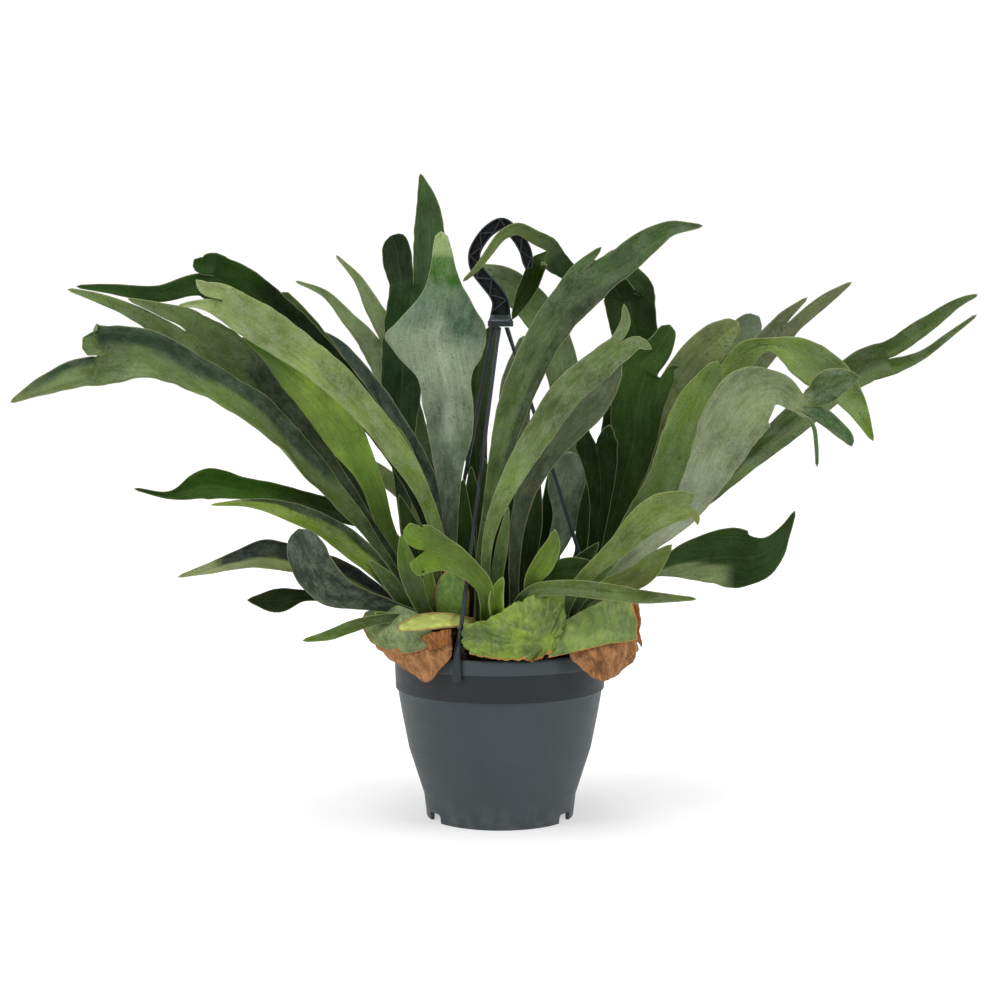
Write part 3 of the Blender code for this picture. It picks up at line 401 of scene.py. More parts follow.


# Stations are x, y, z, width and roll (0 where it isn't given), from the rhizome to the fork. A
# lobe takes the columns (low, high) of its parent's last row, counted from the blade's left seen
# from -Y, tip up. Colour stops run from the base to the tip, and a fold is low, high, start, end
# and its colour. Most folds show a leaf's other face; the one at frond_left_forked is painted
# shadow.
fronds = {
    # left rhizome
    "frond_left_long": dict(
        look="grown", under="#7f8d5b",
        tint="0 #2f3c1d 0.25 #45542c 0.45 #5f7040 0.8 #63754a 1 #6d7c50",
        folds=[(0.3, 2, 0.28, 0.97, "#22371c")],
        trunk=[(-78, -24, seat, 10, 40), (-96, -28, 232, 11, 45), (-118, -34, 268, 14, 50),
               (-146, -46, 306, 24, 55), (-190, -70, 358, 40, 55), (-228, -92, 399, 44, 52),
               (-280, -108, 434, 44, 45), (-327, -118, 456, 50, 30), (-370, -124, 458, 58, 10)],
        lobes=[((0, 2), [(-413, -130, 433, 20, 10), (-450, -130, 416, 3, 10)]),
               ((2, 4), [(-377, -125, 472, 27, 5), (-383, -125, 475, 15, 5)])],
        cup=80,
    ),
    "frond_left_forked": dict(
        look="grown", under="#76855a",
        # The dark tint up to 0.45 of its length and the dark fold on its upper side are painted
        # shadow cast by the fronds over it.
        tint="0 #1b280d 0.3 #24340f 0.45 #2b3c1a 0.6 #4a5c34 0.72 #647648 1 #6a7c50",
        folds=[(0.1, 2, 0.4, 0.66, "#1f2d12")],
        trunk=[(-76, -12, seat, 10, 30), (-92, -12, 232, 12, 35), (-122, -16, 278, 18, 40),
               (-155, -26, 327, 26, 40), (-189, -40, 368, 40, 35), (-224, -54, 408, 48, 28),
               (-264, -63, 456, 52, 15), (-296, -69, 480, 44, 5)],
        lobes=[((0, 2), [(-350, -78, 501, 13, 5), (-378, -82, 512, 9, 5), (-405, -84, 520, 3, 5)]),
               ((2, 4), [(-322, -74, 502, 12, 5), (-350, -78, 511, 3, 5)])],
        cup=60,
    ),
    "frond_left_bright": dict(
        look="young", under="#74894a", cup=50,
        # The bright yellow-green middle of the tint is painted light, standing in for light shining
        # through the blade.
        tint="0 #2f4015 0.25 #4c6425 0.5 #7c9850 0.76 #8fa55c 0.86 #56742f 0.93 #456028 "
             "1 #45602a",
        trunk=[(-66, 0, seat, 9, 20), (-84, 0, 230, 11, 25), (-112, -2, 284, 18, 30),
               (-129, -5, 333, 26, 28), (-151, -10, 373, 42, 25), (-177, -17, 411, 48, 22),
               (-214, -26, 446, 36, 20), (-253, -28, 474, 4, 20)],
    ),
    "frond_left_pale": dict(
        look="felted", under="#8b966c",
        tint="0 #465a2c 0.3 #6d8148 0.55 #85955f 0.75 #8a9a66 1 #8e9c6a",
        trunk=[(-58, -38, seat, 9), (-59, -42, 240, 10), (-60, -46, 280, 13, 10),
               (-76, -50, 327, 17, 20), (-97, -54, 362, 24, 25), (-134, -58, 409, 30, 28),
               (-191, -62, 460, 36, 25), (-229, -66, 486, 38, 20), (-262, -68, 508, 34, 10)],
        lobes=[((0, 1), [(-286, -68, 506, 8, 5), (-305, -69, 504, 3, 5)]),
               ((1, 2), [(-280, -68, 522, 12, 5), (-287, -68, 529, 4, 5)])],
        cup=60,
    ),
    "frond_left_dark": dict(
        look="dark", under="#52623a", tint="0 #131f09 0.45 #14210a 0.7 #263c17 1 #345028",
        folds=[(0.2, 2, 0.35, 0.72, "#101c08")],
        trunk=[(-54, 10, seat, 9), (-60, 14, 250, 12), (-80, 14, 312, 16, 10),
               (-118, 8, 382, 26, 10), (-167, 2, 441, 38, 10), (-216, -8, 490, 44, 10),
               (-254, -18, 520, 47, 5), (-278, -24, 533, 46)],
        lobes=[((0, 2), [(-329, -34, 516, 16), (-376, -44, 521, 9), (-404, -50, 523, 3)]),
               ((2, 4), [(-290, -26, 545, 16), (-295, -26, 549, 7)])],
    ),
    "frond_left_inner": dict(
        look="dark", under="#4a563a", tint="0 #1a260f 0.6 #26331c 1 #35452a",
        trunk=[(-82, 14, seat, 9, 10), (-99, 18, 242, 12, 10), (-128, 24, 292, 16, 10),
               (-159, 24, 341, 22, 10), (-198, 18, 391, 26, 10), (-223, 14, 419, 18, 10),
               (-243, 12, 441, 3, 10)],
    ),
    "frond_left_round": dict(
        look="dark", under="#4f5c3e", tint="0 #1a240f 0.6 #2b3a1d 1 #3a4b2b",
        trunk=[(-50, 26, seat, 9), (-62, 30, 262, 12), (-90, 34, 330, 16), (-130, 34, 400, 22),
               (-170, 32, 455, 24), (-199, 28, 495, 20), (-216, 26, 518, 10)],
    ),
    "frond_left_blue": dict(
        look="felted", under="#6c7868", tint="0 #222e1d 0.5 #38473a 1 #485850",
        trunk=[(-52, 42, seat, 9), (-56, 46, 262, 12), (-72, 50, 329, 18), (-106, 52, 384, 26),
               (-141, 50, 434, 26), (-171, 48, 468, 18), (-189, 46, 482, 4)],
    ),
    "frond_left_small": dict(
        look="young", under="#72854c", tint="0 #33471a 0.6 #557030 1 #668040",
        trunk=[(-62, -18, seat, 8), (-60, -20, 240, 9), (-64, -22, 294, 11), (-83, -22, 343, 14),
               (-99, -22, 378, 12), (-113, -22, 399, 3)],
    ),
    "frond_low_left_back": dict(
        look="dark", under="#4c5c34",
        tint="0 #1c2b0f 0.5 #1c2b0c 0.62 #2b4416 0.8 #2f4b1a 1 #1a290f",
        trunk=[(-86, 32, seat, 9, 20), (-92, 38, 244, 11, 30), (-120, 44, 281, 20, 40),
               (-160, 40, 296, 26, 45), (-209, 30, 311, 26, 45), (-258, 18, 322, 28, 40),
               (-292, 10, 327, 34, 30), (-324, 6, 318, 10, 20), (-361, 2, 325, 3, 20)],
        cup=60,
    ),
    "frond_low_left_light": dict(
        look="grown", under="#66773f", tint="0 #46591f 0.4 #6f8242 0.7 #7a8c4a 1 #6c7e3c",
        folds=[(0.45, 2, 0.1, 0.9, "#243312")],
        trunk=[(-86, -33, seat, 9, 20), (-104, -52, 233, 16, 35), (-130, -58, 262, 28, 42),
               (-163, -64, 287, 30, 42), (-201, -68, 306, 24, 42), (-238, -72, 316, 12, 40),
               (-275, -76, 316, 3, 40)],
        cup=70,
    ),
    "frond_low_left_twotone": dict(
        look="grown", under="#858c68", tint="0 #46532c 0.2 #7a855a 0.5 #868f62 1 #868f66",
        folds=[(0, 2, 0.08, 0.86, "#0f1a17")],
        trunk=[(-92, -20, seat, 9, 30), (-108, -30, 216, 12, 35), (-130, -40, 232, 22, 40),
               (-160, -50, 248, 30, 45), (-200, -60, 259, 34, 45), (-228, -66, 264, 34, 40),
               (-250, -70, 261, 22, 35), (-278, -74, 254, 12, 30), (-307, -76, 247, 3, 30)],
        cup=80,
    ),
    "frond_low_left_broad": dict(
        look="felted", under="#5d6650", tint="0 #1c2418 0.4 #272f23 0.7 #2f382c 1 #38413a",
        trunk=[(-80, -46, seat, 10), (-104, -62, 216, 13), (-136, -77, 227, 22),
               (-160, -86, 238, 36), (-175, -90, 257, 40), (-184, -92, 278, 36),
               (-190, -94, 295, 20)],
        cup=30,
    ),
    "frond_low_left_point": dict(
        look="dark", under="#46543a", tint="0 #101806 0.6 #151e0a 1 #212d17",
        trunk=[(-94, -6, seat, 8, 10), (-122, -22, 212, 9, 10), (-156, -40, 220, 9, 10),
               (-190, -52, 226, 12, 10), (-214, -58, 222, 24, 10), (-243, -62, 223, 3, 10)],
        cup=30,
    ),
    "frond_low_left_short": dict(
        look="grown", under="#63763f", tint="0 #26350f 0.6 #42551f 1 #546a30",
        trunk=[(-76, -58, seat, 8), (-98, -71, 207, 9), (-120, -80, 206, 10), (-140, -84, 201, 12),
               (-162, -86, 193, 10), (-188, -84, 187, 3)],
    ),
    "frond_young_left": dict(
        look="young", under="#82955a", tint="0 #2c3d0c 0.4 #3f5316 1 #5a7430",
        trunk=[(-64, -60, seat, 10), (-74, -68, 216, 14), (-81, -74, 236, 19), (-89, -78, 262, 18),
               (-94, -80, 288, 3)],
    ),
    "frond_back_left_pale": dict(
        look="grown", under="#7c8560", tint="0 #36401f 0.5 #5f6a40 1 #6b764b",
        trunk=[(-64, 52, seat, 9), (-68, 70, 250, 12), (-82, 84, 292, 14), (-116, 92, 328, 18),
               (-142, 92, 344, 14), (-169, 92, 348, 3)],
    ),
    "frond_back_antler": dict(
        look="grown", under="#73815a", tint="0 #2c3a1c 0.5 #485734 0.75 #53633a 1 #5f7045",
        trunk=[(-20, 58, seat, 10), (-38, 68, 250, 13), (-58, 76, 310, 18), (-87, 84, 377, 28),
               (-110, 90, 440, 40), (-121, 92, 466, 45)],
        lobes=[((0, 2), [(-155, 94, 492, 15), (-180, 98, 518, 8), (-209, 102, 530, 3)]),
               ((2, 4), [(-129, 92, 503, 18), (-144, 94, 531, 10), (-167, 98, 556, 3)])],
        cup=30,
    ),
    "frond_back_tall": dict(
        look="dark", under="#5d6b4a",
        tint="0 #26332a 0.3 #223020 0.5 #16290e 0.68 #1b2f12 0.8 #2a3d20 1 #33461f",
        lobeTints={1: "#0f1e08", 2: "#2e4022"},
        trunk=[(-80, 44, seat, 10), (-92, 52, 262, 13), (-98, 60, 320, 17), (-100, 66, 372, 28),
               (-100, 68, 409, 40), (-96, 70, 470, 47), (-88, 72, 520, 50)],
        lobes=[((0, 2), [(-103, 74, 549, 32), (-106, 75, 567, 28), (-110, 75, 575, 20)]),
               ((2, 4), [(-71, 74, 571, 34), (-73, 75, 607, 23), (-80, 76, 637, 3)])],
    ),
    # middle rhizome
    "frond_blue_front": dict(
        look="felted", under="#87937a",
        tint="0 #2c3a22 0.25 #3a4534 0.45 #56644f 0.62 #828e78 0.72 #86927b 0.8 #6f8069 "
             "0.86 #5f7558 0.875 #38572d 0.935 #44662f 0.95 #91a272 1 #98a878",
        folds=[(0.05, 2, 0.7, 0.87, "#486049"), (-2, -0.5, 0.76, 0.87, "#5f7660"),
               (-0.2, 0.1, 0.45, 0.8, "#98a38e")],
        trunk=[(-48, -24, seat, 10), (-48, -30, 250, 11), (-48, -38, 300, 16), (-49, -42, 346, 27),
               (-48, -44, 384, 43), (-50, -45, 410, 49), (-54, -46, 438, 53), (-58, -47, 458, 82),
               (-60, -48, 475, 96), (-57, -49, 490, 82), (-54, -49, 504, 60), (-53, -49, 519, 40),
               (-54, -48, 538, 25), (-55, -47, 558, 18), (-56, -46, 575, 10)],
        cup=36, level=True, wave=0.05,
    ),
    "frond_strap_front": dict(
        look="grown", under="#6e7c52",
        tint="0 #30401b 0.15 #4a5a36 0.4 #566a3c 0.6 #4b5d3a 0.8 #405430 1 #364a22",
        folds=[(0.35, 2, 0.2, 0.8, "#2f4020")],
        trunk=[(-20, -30, seat, 9), (-20, -35, 250, 9), (-11, -41, 310, 12), (-1, -48, 354, 21),
               (11, -52, 402, 29, -5), (29, -55, 447, 33, -10), (53, -59, 490, 37, -12),
               (84, -62, 527, 42, -12)],
        lobes=[((0, 1), [(87, -62, 551, 8, -5), (96, -62, 560, 3, -5)]),
               ((1, 4), [(116, -66, 546, 28, -12), (138, -70, 563, 25, -12),
                         (160, -74, 576, 15, -10), (190, -78, 579, 3, -10)])],
        cup=44,
    ),
    "frond_strap_lower": dict(
        look="felted", under="#84906a",
        tint="0 #44542b 0.2 #647442 0.4 #6d7f4e 0.65 #5c6b44 1 #5f6f47",
        trunk=[(-10, -48, seat, 9), (-14, -54, 244, 9), (-10, -60, 288, 12), (1, -66, 320, 17),
               (15, -70, 348, 22), (38, -76, 386, 27, -5), (66, -82, 426, 30, -8),
               (95, -86, 451, 28, -8), (113, -88, 466, 25, -5)],
        lobes=[((0, 1), [(117, -88, 488, 10), (116, -88, 506, 3)]),
               ((1, 3), [(130, -89, 470, 12), (142, -90, 464, 4)])],
        cup=44,
    ),
    "frond_olive_inner": dict(
        look="grown", under="#666f52", tint="0 #2c3520 0.5 #4a533a 1 #565f46",
        trunk=[(14, -20, seat, 9), (14, -24, 250, 11), (17, -26, 290, 15), (26, -29, 326, 20),
               (45, -33, 362, 26), (70, -39, 389, 28), (93, -44, 413, 26), (108, -48, 440, 18),
               (115, -50, 461, 3)],
    ),
    "frond_crumpled": dict(
        look="grown", under="#6b7a55",
        tint="0 #26331a 0.45 #3a4a2c 0.7 #596b45 0.85 #4c5f38 1 #7a8766",
        trunk=[(26, 48, seat, 10), (44, 52, 250, 13), (61, 56, 308, 18), (67, 60, 389, 30),
               (61, 62, 449, 36), (40, 58, 495, 36), (15, 52, 521, 34), (-8, 46, 535, 26),
               (-22, 44, 543, 9)],
        cup=50,
    ),
    "frond_middle_dark": dict(
        look="dark", under="#3c4a2a", tint="0 #141f0a 0.6 #1c280f 1 #2c3a1c",
        trunk=[(-4, 46, seat, 9), (-12, 54, 262, 12), (-22, 60, 329, 20), (-25, 62, 409, 30),
               (-15, 62, 465, 24), (-1, 60, 490, 4)],
    ),
    "frond_middle_grey": dict(
        look="grown", under="#5d6650", tint="0 #1c2612 0.6 #3c4632 1 #4b543f",
        trunk=[(12, 32, seat, 9), (14, 36, 262, 12), (14, 40, 359, 24), (17, 42, 428, 32),
               (24, 42, 475, 8)],
    ),
    "frond_grey_round": dict(
        look="felted", under="#6b755f", tint="0 #323d28 0.5 #566250 1 #616c5a",
        trunk=[(30, 16, seat, 9), (48, 22, 250, 15), (66, 28, 292, 28), (69, 30, 330, 44),
               (69, 30, 350, 36), (69, 30, 360, 16)],
        cup=30,
    ),
    "frond_front_forked": dict(
        look="young", under="#7a8c4c", tint="0 #43561c 0.35 #587020 0.7 #5c7426 1 #68803a",
        trunk=[(-14, -70, seat, 10), (-12, -78, 221, 14), (-16, -86, 241, 17), (-30, -92, 257, 21),
               (-45, -96, 268, 27), (-60, -98, 273, 38), (-70, -99, 275, 48)],
        lobes=[((0, 2), [(-75, -100, 258, 20), (-77, -100, 251, 8)]),
               ((2, 4), [(-80, -99, 290, 22), (-85, -98, 301, 9)])],
        cup=36, ragged=0.09, wave=0.12,
    ),
    "frond_front_strap": dict(
        look="grown", under="#7a8857", tint="0 #3c4d26 0.4 #4f5f30 1 #586a36",
        trunk=[(14, -58, seat, 10), (20, -70, 222, 12, -10), (33, -81, 234, 14, -20),
               (57, -90, 238, 16, -25), (94, -98, 236, 18, -25), (131, -106, 232, 14, -20),
               (184, -114, 231, 3, -20)],
        cup=50,
    ),
    "frond_young_front": dict(
        look="young", under="#728550", tint="0 #44581f 0.5 #576c29 1 #607733",
        trunk=[(28, -56, seat, 9), (29, -63, 222, 11), (31, -71, 243, 16), (43, -78, 263, 21),
               (50, -82, 279, 16), (52, -84, 294, 3)],
        cup=50,
    ),
    "frond_dark_wavy": dict(
        look="dark", under="#4a5a34", tint="0 #202e12 0.5 #2b3d1a 1 #344722",
        trunk=[(36, -38, seat, 10), (34, -46, 224, 14), (42, -52, 240, 20), (62, -56, 250, 26),
               (84, -58, 252, 20), (100, -60, 250, 4)],
        cup=30,
    ),
    # right rhizome
    "frond_right_arching": dict(
        look="dark", under="#6b7850",
        tint="0 #0f1905 0.4 #172609 0.6 #1b2c0c 0.72 #22351a 0.85 #4f5f38 1 #58663e",
        lobeTints={2: "#1f300c", 4: "#26381a"},
        trunk=[(56, 42, seat, 10), (80, 52, 250, 14), (101, 60, 308, 20), (120, 70, 388, 34),
               (138, 76, 456, 46), (130, 72, 512, 54)],
        lobes=[((0, 4), [(91, 60, 542, 20), (73, 44, 537, 17), (57, 28, 547, 24),
                         (46, 12, 557, 28)],
                [((0, 2), [(36, 16, 542, 18), (28, 20, 524, 19), (19, 22, 506, 13),
                           (12, 22, 491, 3)]),
                 ((2, 4), [(34, -8, 571, 14), (17, -10, 579, 12), (3, -13, 573, 10),
                           (-10, -17, 557, 8), (-22, -19, 541, 6), (-36, -20, 528, 3)])]),
               ((4, 6), [(118, 70, 545, 30), (114, 70, 561, 22)])],
        cup=36,
    ),
    "frond_right_blunt": dict(
        look="dark", under="#2f3f1a", tint="0 #0c1602 0.6 #0f1e02 1 #172a06",
        trunk=[(78, -14, seat, 10), (84, -14, 235, 12), (93, -14, 272, 15), (98, -14, 314, 22),
               (98, -14, 343, 32), (94, -14, 370, 42)],
        lobes=[((0, 2), [(82, -14, 387, 6)]), ((2, 4), [(107, -14, 389, 6)])],
        cup=30,
    ),
    "frond_right_dark": dict(
        look="dark", under="#4c5c3a", tint="0 #16240b 0.4 #203010 0.7 #273a18 1 #304320",
        trunk=[(70, 20, seat, 10), (84, 21, 226, 11), (99, 22, 254, 13), (112, 22, 293, 25),
               (123, 22, 332, 38), (133, 22, 371, 46), (136, 22, 408, 54), (144, 22, 438, 60)],
        lobes=[((0, 3), [(158, 22, 464, 28), (168, 22, 486, 16)]),
               ((3, 4), [(172, 22, 444, 6), (178, 22, 444, 3)])],
    ),
    "frond_right_pale": dict(
        look="felted", under="#949d7c",
        # The pale grey stops at 0.2 and 0.35 are its felt, made brighter by a painted highlight on
        # the stem.
        tint="0 #4f6330 0.2 #a2aa88 0.35 #aab29c 0.55 #868f70 0.8 #7c8763 1 #76845c",
        lobeTints={1: "#43572f", 2: "#384e2c", 3: "#3d5230"},
        trunk=[(84, -42, seat, 10), (98, -46, 228, 12), (117, -51, 253, 14, -5),
               (145, -58, 279, 19, -8), (175, -66, 308, 27, -8), (192, -70, 337, 38, -8),
               (208, -74, 370, 50, -8), (225, -78, 402, 60, -8), (242, -81, 421, 58, -6),
               (260, -83, 426, 34, -4), (281, -85, 413, 18)],
        lobes=[((0, 3), [(296, -86, 420, 22), (311, -84, 431, 30), (327, -82, 436, 18),
                         (339, -80, 437, 4)]),
               ((3, 5), [(302, -90, 402, 15), (317, -93, 390, 14), (327, -95, 380, 10),
                         (330, -96, 373, 4)]),
               ((5, 6), [(293, -97, 393, 4), (296, -99, 376, 4), (297, -100, 354, 3)])],
    ),
    "frond_right_green": dict(
        look="grown", under="#7c8a5c",
        tint="0 #36461f 0.35 #4b5e33 0.6 #6d8350 0.85 #74894f 1 #7a8f5c",
        trunk=[(84, -28, seat, 10), (96, -28, 240, 12), (114, -31, 272, 16), (136, -34, 306, 23),
               (160, -38, 340, 34), (177, -42, 379, 44), (190, -46, 413, 40), (202, -50, 438, 24),
               (207, -54, 452, 12)],
        cup=44,
    ),
    "frond_right_low_blade": dict(
        look="grown", under="#7c875a", tint="0 #4c5a28 0.5 #66723d 1 #6c7a45",
        trunk=[(76, -52, seat, 9), (79, -54, 217, 11), (102, -66, 236, 16), (132, -74, 248, 24),
               (148, -78, 263, 20), (163, -82, 279, 3)],
        cup=30,
    ),
    "frond_right_low_dark": dict(
        look="dark", under="#7c8568", tint="0 #1b2610 0.3 #2f4122 0.7 #26381b 1 #2c3f22",
        folds=[(0.1, 2, 0.12, 0.66, "#6f7d58")],
        trunk=[(94, -16, seat, 9), (120, -24, 228, 10), (150, -30, 248, 14, -10),
               (167, -34, 254, 25, -8), (184, -37, 258, 38, -8), (205, -40, 261, 50, -8),
               (227, -43, 262, 60, -6), (245, -45, 262, 50, -4), (262, -46, 271, 30),
               (272, -47, 284, 16), (279, -49, 297, 8), (284, -50, 308, 3)],
        cup=44,
    ),
    "frond_right_forked": dict(
        look="grown", under="#858f66", tint="0 #4a5a2c 0.4 #6b7944 1 #727f4c",
        trunk=[(60, -58, seat, 10), (65, -66, 223, 12), (82, -79, 249, 14), (99, -85, 266, 17),
               (115, -90, 281, 22), (130, -92, 297, 28), (146, -95, 310, 32), (164, -97, 317, 30),
               (176, -99, 318, 27)],
        lobes=[((0, 2), [(183, -100, 328, 6)]),
               ((2, 4), [(183, -100, 309, 8), (186, -100, 299, 3)])],
    ),
    "frond_right_olive": dict(
        look="grown", under="#80886a", tint="0 #363f26 0.4 #5c663f 0.75 #707a4f 1 #757f57",
        trunk=[(84, 40, seat, 9), (100, 43, 235, 12), (124, 46, 280, 15), (141, 46, 339, 22),
               (166, 44, 409, 32), (191, 42, 445, 40), (216, 40, 470, 38), (237, 38, 489, 16)],
    ),
    "frond_right_grey": dict(
        look="young", under="#6b7a50",
        tint="0 #26350f 0.4 #4a6320 0.65 #647d38 0.8 #6f8058 1 #74826c",
        trunk=[(68, 50, seat, 9), (84, 60, 226, 11), (116, 64, 272, 13), (152, 66, 338, 17),
               (203, 66, 419, 25), (238, 60, 465, 35), (252, 58, 486, 28), (260, 56, 494, 14)],
    ),
    "frond_right_bright": dict(
        look="grown", under="#88966a",
        tint="0 #3c4f22 0.35 #6a8046 0.6 #788d50 0.85 #6e7f52 1 #6c8540",
        trunk=[(92, -4, seat, 9), (108, -4, 238, 12), (138, -6, 294, 15), (186, -10, 373, 20),
               (222, -16, 434, 24), (240, -20, 460, 24), (262, -24, 467, 14), (282, -28, 461, 30),
               (299, -30, 450, 40), (322, -34, 434, 36), (340, -40, 412, 24), (359, -46, 375, 3)],
    ),
    "frond_right_upper": dict(
        look="grown", under="#808868", tint="0 #363f24 0.4 #59633f 0.7 #656e4c 1 #6c7454",
        trunk=[(76, 30, seat, 9), (90, 33, 228, 11), (122, 34, 270, 13), (159, 32, 314, 17),
               (204, 30, 380, 24), (239, 30, 430, 28), (264, 28, 465, 30), (284, 26, 487, 28)],
        lobes=[((0, 2), [(304, 24, 513, 3)]),
               ((2, 4), [(323, 20, 512, 12), (346, 14, 528, 3)])],
    ),
    "frond_right_long": dict(
        look="grown", under="#66744c", tint="0 #2c3a1c 0.4 #3c4c27 0.7 #44552e 1 #4f6138",
        folds=[(0.2, 2, 0.3, 0.95, "#5a6b40")],
        trunk=[(92, 26, seat, 9), (106, 25, 222, 11, -10), (144, 16, 262, 14, -20),
               (187, 8, 303, 20, -25), (236, 4, 347, 26, -26), (286, 4, 388, 31, -26),
               (335, 4, 429, 33, -20), (361, 0, 447, 36, -10), (378, -8, 453, 35, -5)],
        lobes=[((0, 2), [(404, -24, 481, 18), (439, -44, 508, 9), (453, -60, 515, 3)]),
               ((2, 4), [(406, -26, 456, 10), (427, -44, 474, 7), (453, -58, 496, 3)])],
        cup=50,
    ),
}

shields = {
    "shield_rolled": dict(
        look="new",
        trunk=[(-26, -66, seat, 12), (-34, -76, 203, 12), (-53, -88, 206, 17), (-74, -95, 205, 18),
               (-97, -97, 201, 8)],
        facing=(0, -1, 0.5), cup=90,
    ),
    "shield_upright": dict(
        look="young",
        trunk=[(-45, -60, seat, 26), (-46, -63, 220, 34), (-47, -64, 238, 30),
               (-50, -63, 252, 12)],
        cup=-40,
    ),
}

# Young leaves round the foot of the fern. Each stands with the frond that it names, and takes
# its colours from its look.
sproutTints = {
    "young": "0 #4c6021 0.5 #647d2e 1 #6d8a3a",
    "dark": "0 #121c08 0.5 #1d2a11 1 #2a3b1c",
    "grown": "0 #2c3d18 0.5 #4a6030 1 #566d3a",
}
sprouts = {
    "sprout_left_tall": dict(
        node="frond_young_left", look="young", cup=50,
        trunk=[(-56, -50, seat, 8), (-64, -58, 216, 12), (-68, -62, 240, 12), (-70, -63, 266, 3)],
    ),
    "sprout_left_stem": dict(
        node="frond_left_small", look="grown", cup=50,
        trunk=[(-52, -36, seat, 8), (-58, -44, 230, 10), (-64, -48, 262, 9), (-70, -50, 292, 3)],
    ),
    "sprout_left_low": dict(
        node="frond_low_left_short", look="young", cup=60,
        trunk=[(-84, -52, seat, 8), (-95, -64, 204, 12, 10), (-106, -72, 207, 12, 10),
               (-120, -77, 213, 3)],
    ),
    "sprout_left_side": dict(
        node="frond_low_left_light", look="grown", cup=50,
        trunk=[(-84, -40, seat, 9, 10), (-94, -50, 220, 14, 20), (-108, -58, 242, 15, 25),
               (-126, -62, 262, 3, 25)],
    ),
    "sprout_left_dark": dict(
        node="frond_left_small", look="dark",
        trunk=[(-62, -24, seat, 12), (-72, -28, 240, 20), (-86, -30, 286, 20), (-98, -32, 322, 3)],
    ),
    "sprout_middle_curl": dict(
        node="frond_front_forked", look="young", cup=90, wave=0.2,
        trunk=[(0, -68, seat, 8), (-3, -76, 214, 14), (-3, -80, 232, 15), (3, -82, 248, 4)],
    ),
    "sprout_middle_left": dict(
        node="frond_middle_dark", look="dark",
        trunk=[(-32, -8, seat, 12), (-34, -10, 244, 23), (-38, -12, 292, 24), (-36, -12, 336, 3)],
    ),
    "sprout_middle_stem": dict(
        node="frond_middle_dark", look="grown",
        trunk=[(-6, -46, seat, 9), (-4, -50, 236, 12), (2, -52, 276, 12), (8, -53, 312, 3)],
    ),
    "sprout_middle_back": dict(
        node="frond_middle_dark", look="dark",
        trunk=[(-8, 6, seat, 12), (-10, 6, 250, 24), (-12, 6, 310, 24), (-16, 6, 356, 3)],
    ),
    "sprout_middle_deep": dict(
        node="frond_middle_grey", look="dark",
        trunk=[(18, -8, seat, 12), (24, -10, 250, 22), (32, -12, 300, 20), (38, -14, 340, 3)],
    ),
    "sprout_right_deep": dict(
        node="frond_middle_grey", look="dark",
        trunk=[(36, 30, seat, 14), (46, 34, 250, 26), (54, 36, 300, 28), (58, 38, 340, 18),
               (60, 38, 360, 3)],
    ),
    "sprout_middle_filler": dict(
        node="frond_middle_grey", look="dark",
        trunk=[(2, 20, seat, 12), (2, 20, 250, 24), (6, 20, 300, 20), (8, 20, 336, 3)],
    ),
    "sprout_back_left": dict(
        node="frond_middle_dark", look="dark",
        trunk=[(-22, 30, seat, 14), (-24, 32, 250, 24), (-27, 34, 300, 22), (-29, 34, 345, 3)],
    ),
    "sprout_back_right": dict(
        node="frond_right_dark", look="dark",
        trunk=[(78, 24, seat, 12), (84, 26, 250, 20), (88, 26, 300, 22), (90, 26, 340, 3)],
    ),
    "sprout_right_dark": dict(
        node="frond_dark_wavy", look="dark",
        trunk=[(56, -30, seat, 10), (62, -32, 222, 20), (76, -34, 250, 22), (96, -36, 276, 3)],
    ),
    "sprout_right_stem": dict(
        node="frond_right_low_blade", look="grown", cup=50,
        trunk=[(64, -48, seat, 9), (72, -56, 218, 13), (88, -62, 240, 14), (110, -68, 258, 3)],
    ),
}


for seed, (name, blade) in enumerate({**fronds, **sprouts}.items()):
    blade.setdefault("tint", sproutTints.get(blade["look"]))
    growBlade(name, blade, leathers, seed * 3.7 + 1.3)
print("fronds grown:", len(fronds) + len(sprouts))


